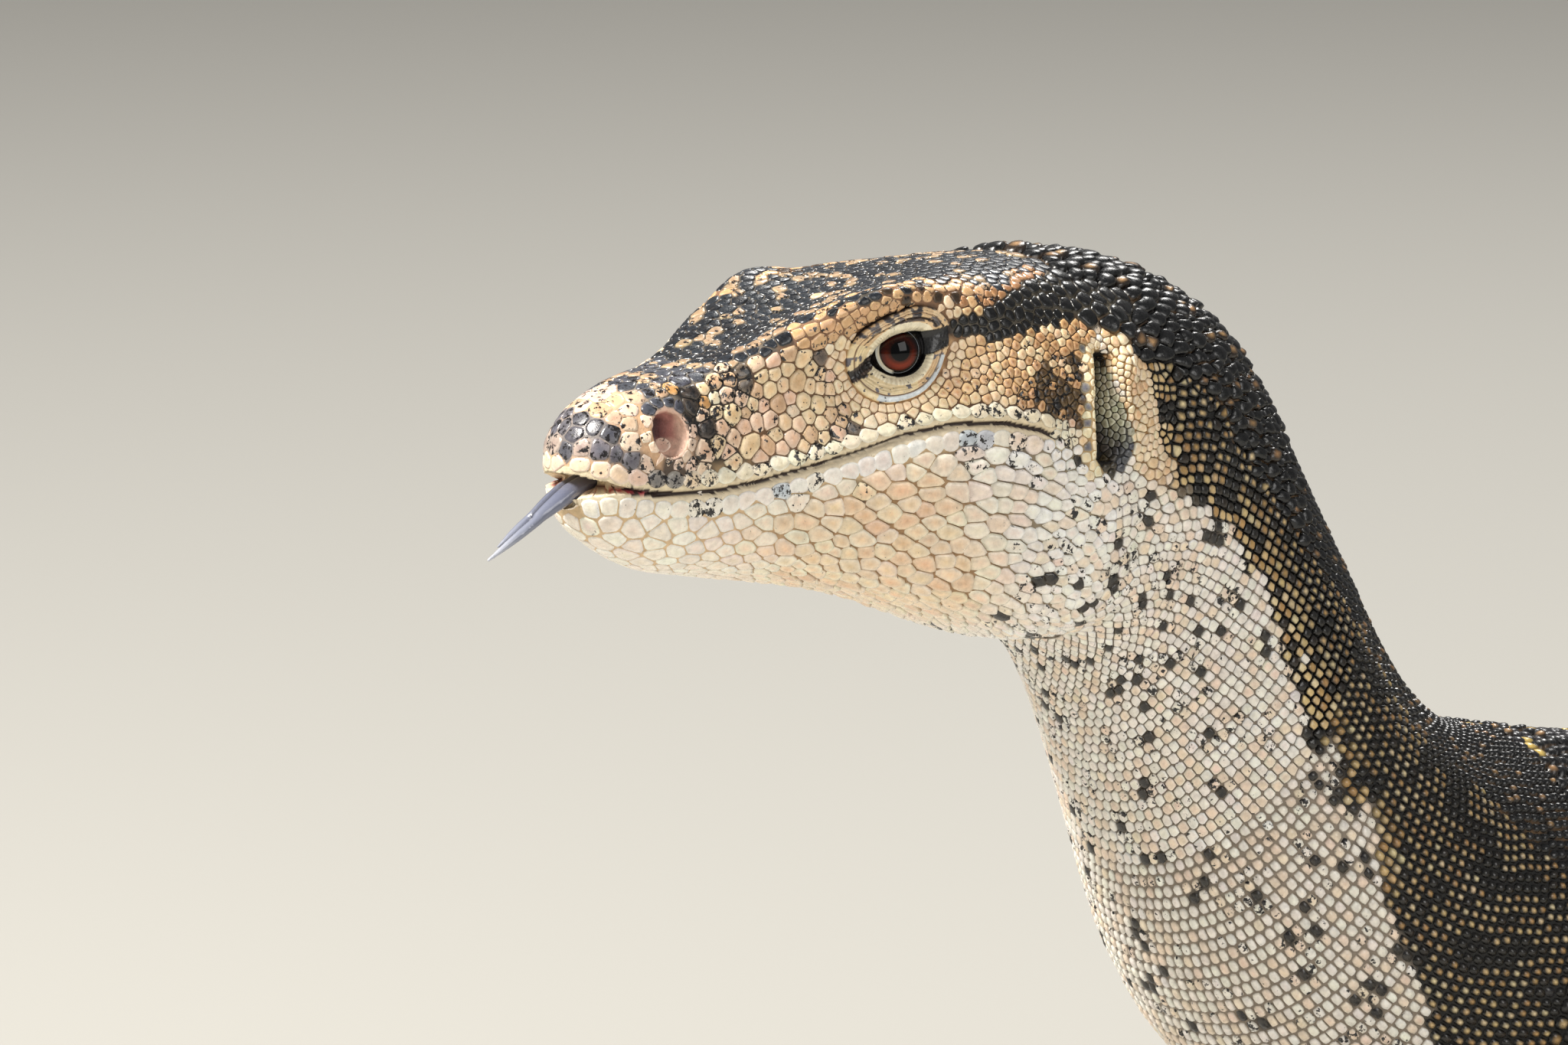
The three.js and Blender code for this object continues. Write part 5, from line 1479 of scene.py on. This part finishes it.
def lids(name, side):
    """Both lids of one eye as a sheet round its opening, ribbed, creased and painted, with painted shade in
    its creases, hollows, edges and corners.
    """
    bm = bmesh.new()
    bmesh.ops.create_grid(bm, x_segments=LID_AROUND, y_segments=LID_RINGS, size=1)
    grid = np.array([v.co for v in bm.verts])
    angle, share = math.pi * grid[:, 0], (grid[:, 1] + 1) / 2
    inner, outer = reach_at(ALMOND, angle), reach_at(LID_EDGE, angle)
    reach = inner + (outer - inner) * share
    away = reach - inner
    x, y = reach * np.cos(angle), reach * np.sin(angle)
    axes = np.stack([EYE_BACK, EYE_UP, EYE_LOOK]) * side
    turn = np.linspace(-math.pi, math.pi, 72, endpoint=False)
    edge = 1.04 * reach_at(LID_EDGE, turn)
    centre = EYE_CENTRE * side
    rim = centre + np.outer(edge * np.cos(turn), axes[0]) + np.outer(edge * np.sin(turn), axes[1])
    rim_z = (outside_at(rim, np.tile(-axes[2], (len(rim), 1))) - centre) @ axes[2]
    rim_z = np.mean([np.roll(rim_z, k) for k in range(-4, 5)], 0)
    edge_z = np.interp(angle, turn, rim_z, period=2 * math.pi) + 0.1
    on_ball = np.sqrt(np.maximum(OVER_BALL**2 - inner**2, 9.0))
    upper = ease(angle, 0.3, 0.7) * (1 - ease(angle, 2.7, 3.05))
    in_front = bell(beside(np.stack([0 * x, x, y], 1), FRONT_CORNER)[0], 1.25) * ease(-x, 4.4, 5.4)
    behind = (x > 4.2) & (y > read_off(BACK_CORNER_LOW, x)) & (y < read_off(BACK_CORNER_TOP, x))
    z = on_ball + (edge_z - on_ball) * ease(share, 0.0, 1.0)
    z += 1.5 * 4 * share * (1 - share) * (0.45 + 0.55 * upper)
    z -= 0.8 * in_front * ease(share, 0, 0.15) + 0.5 * behind * ease(x, 4.2, 5.5)
    wander = share + 0.03 * np.sin(3 * angle + 1) + 0.018 * np.sin(7 * angle) + 0.01 * np.sin(17 * angle)
    bare_lid = 1.0 - behind
    ribs = np.sin(angle * 52 + 3 * np.sin(5 * angle)) * bare_lid
    z += 0.6 * bell(away - 1.0, 0.8) * bare_lid + 0.12 * ribs * bell(away - 0.9, 0.8)
    creases = 0.8 * bell(wander - 0.53, 0.03) + 0.4 * bell(wander - 0.7, 0.025)
    creases += 0.25 * bell(wander - 0.82, 0.02)
    z -= creases * (upper * bare_lid)
    z -= 0.9 * bell(share - 0.97, 0.04) * upper
    z += 0.12 * speckle(np.stack([9 * share, 2 * x, 2 * y], 1), 1.5, 12) * ease(share, 0.35, 0.5)
    low = (1 - upper) * bare_lid
    creases = 0.3 * bell(wander - 0.44, 0.025) + 0.28 * bell(wander - 0.56, 0.02)
    creases += 0.45 * bell(share - 0.72, 0.025)
    z -= creases * low
    z -= 0.2 * bell(wander - 0.65, 0.02) * low
    z -= 0.6 * ease(share, 0.95, 1.0)
    z = np.where(share < 0.001, on_ball - 0.6, z)
    spots = centre + x[:, None] * axes[0] + y[:, None] * axes[1] + z[:, None] * axes[2]
    mottled = speckle(spots * side, 1.5, 7)
    tone = np.tile(linear("#F1CFA0"), (len(grid), 1))

    def paint_colour_and_shade(mask, code):
        tone[mask] = linear(code)

    above, under = upper > 0.5, upper <= 0.5
    pale = speckle(spots * side, 2.2, 9) > 0.1
    paint_colour_and_shade(above & (share > 0.5) & pale, "#F6DAB0")
    paint_colour_and_shade(above & (share > 0.55) & (mottled > 0.06), "#77706E")
    paint_colour_and_shade(above & (share > 0.6) & (mottled > 0.24), "#3C3A3E")
    paint_colour_and_shade(above & within(share, 0.42, 0.56) & (x > -2.5) & (mottled > -0.1), "#5E5048")
    # Painted shade: the creases of the upper lid are painted dark along their lines.
    paint_colour_and_shade(above & (abs(wander - 0.53) < 0.022), "#2E2018")
    paint_colour_and_shade(above & (abs(wander - 0.7) < 0.014), "#7A5A42")
    paint_colour_and_shade(under & (x < 3) & (share > 0.25), "#F8E2B4")
    paint_colour_and_shade(under & (share > 0.4) & (mottled > 0.36), "#6E6A72")
    # Painted shade: the crease of the lower lid is painted brown along its line.
    paint_colour_and_shade(under & (abs(share - 0.715) < 0.02), "#8A6A4C")
    crescent = under & within(share, 0.745, 0.93) & within(angle, -2.2, -0.12)
    paint_colour_and_shade(crescent, "#DFE6EA")
    paint_colour_and_shade((away > 0.2) & (away < np.where(above, 2.15, 1.6)), "#FFF3D4")
    # Painted shade: the lid is a little darker in the hollows between its ribs.
    tone[:] = tone * (1 + 0.09 * np.minimum(ribs, 0) * bell(away - 0.9, 0.7))[:, None]
    # Painted shade: the outer edge of the upper lid is painted dark, for the shade in the groove where it
    # meets the scales.
    paint_colour_and_shade(above & (share > 0.94), "#2E2018")
    # Painted shade: the front corner of the opening is painted dark, darkest along its line and in its
    # wrinkles, for the shade of that corner.
    paint_colour_and_shade(in_front > 0.45, "#5A4B44")
    paint_colour_and_shade((in_front > 0.4) & (wander * 9 % 1 < 0.4), "#2A211E")
    paint_colour_and_shade((in_front > 0.8) | (in_front > 0.3) & (mottled > 0.14), "#1A1413")
    # Painted shade: a thin dark edge where the lids tuck against the ball.
    paint_colour_and_shade(away < 0.24, "#141011")
    # Painted shade: the wedge at the back corner of the opening is painted black, for the shade deep in that
    # corner.
    paint_colour_and_shade(behind, "#060609")
    paint = bm.verts.layers.float_color.new("tone")
    for vert, spot, colour in zip(bm.verts, to_frame(spots), tone):
        vert.co = spot
        vert[paint] = (*colour, 0.3)
    bmesh.ops.remove_doubles(bm, verts=bm.verts, dist=1e-7)
    bmesh.ops.recalc_face_normals(bm, faces=bm.faces)
    outward = sum((f.normal * f.calc_area() for f in bm.faces), Vector())
    if outward.dot(Vector(axes[2])) < 0:
        bmesh.ops.reverse_faces(bm, faces=bm.faces)
    made = from_bmesh(name, bm)
    made.data.shade_smooth()
    return made


lid_pieces = [lids("lids_left", LEFT), lids("lids_right", RIGHT)]

# %% Tongue and claws from copies of their solids
def rounded_copy(name, node, voxel=None, levels=0):
    """A copy of a solid, wrapped in voxels and relaxed, or with its faces divided and rounded."""
    made = from_bmesh(name, merged_copy([node]))
    if voxel:
        in_voxels(made, voxel)
        relax = made.modifiers.new("relax", "SMOOTH")
        relax.factor, relax.iterations = 0.5, 8
    if levels:
        step = made.modifiers.new("round", "SUBSURF")
        step.levels = step.render_levels = levels
    apply_modifiers(made)
    made.data.shade_smooth()
    return made


tongue = rounded_copy("forked_tongue", "tongue", voxel=0.35)
TONGUE_GROOVE = {"depth": 0.9, "half_width": 0.4}
for vert in tongue.data.vertices:
    from_middle = from_frame(vert.co)[0] / TONGUE_GROOVE["half_width"]
    vert.co.z -= TONGUE_GROOVE["depth"] * math.exp(-(from_middle**2)) * max(0, vert.normal.z) * MM
CLAW_NODES = sorted(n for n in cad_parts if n.startswith("claw"))
claws = [rounded_copy(f"horn_{n}", n, levels=1) for n in CLAW_NODES]
mucosa, shader = material("wet_tongue_mucosa", Coat_Weight=0.8, Coat_Roughness=0.08, Roughness=0.3)
tree = mucosa.node_tree
where = add(tree, "TexCoord").outputs["Object"]
split = add(tree, "SeparateXYZ", Vector=where).outputs
TIP, MOUTH = to_frame([0, -15.5, 0])[1], to_frame([0, 9, 0])[1]
share = add(tree, "MapRange", Value=split["Y"], From_Min=TIP, From_Max=MOUTH)
violet = ramp_through(tree, share, [(0, "#C8CCD8"), (0.3, "#8F94A6"), (0.7, "#6E7388"), (1, "#4A4854")], 1)
off_middle = add(tree, "Math", {"operation": "SUBTRACT"}, _0=split["X"], _1=float(SNOUT[0]))
off_middle = add(tree, "Math", {"operation": "ABSOLUTE"}, _0=off_middle)
# Painted shade: the middle of the tongue is darkened to 0.3 of its colour, for the shade in its groove.
groove_shade = add(tree, "MapRange", Value=off_middle, From_Max=0.0007, To_Min=0.3)
violet = add(tree, "VectorMath", {"operation": "SCALE"}, _0=violet, Scale=groove_shade)
papillae = add(tree, "TexNoise", Vector=where, Scale=1600.0, Detail=3.0)
bump = add(tree, "Bump", Height=papillae, Strength=0.3, Distance=0.0002)
feed(shader, Base_Color=violet, Normal=bump)
horn, shader = material("black_claw_horn", Coat_Weight=0.4, Coat_Roughness=0.15)
tree = horn.node_tree
where = add(tree, "TexCoord").outputs["Object"]
streaks = add(tree, "TexNoise", Vector=where, Scale=900.0, Detail=4.0)
dark = ramp_through(tree, streaks, [(0.3, "#100E0D"), (0.75, "#3A322B")], 1)
feed(shader, Base_Color=dark, Roughness=add(tree, "MapRange", Value=streaks, To_Min=0.2, To_Max=0.45))
tongue.data.materials.append(mucosa)
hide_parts("tongue")
for piece, node in zip(claws, CLAW_NODES):
    piece.data.materials.append(horn)
    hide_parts(node)
for ball, node in zip(eyes, ("eye_left", "eye_right")):
    ball.data.materials.append(cornea)
    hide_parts(node)

# %% Dress and ride
for piece, stuff in [(skin, thin_skin), *((p, keratin) for p in coat), *((p, lid_skin) for p in lid_pieces)]:
    piece.data.materials.append(stuff)
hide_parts(*FLESH)
for piece in [skin, *coat, *lid_pieces, *eyes, tongue, *claws]:
    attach(piece, "root")
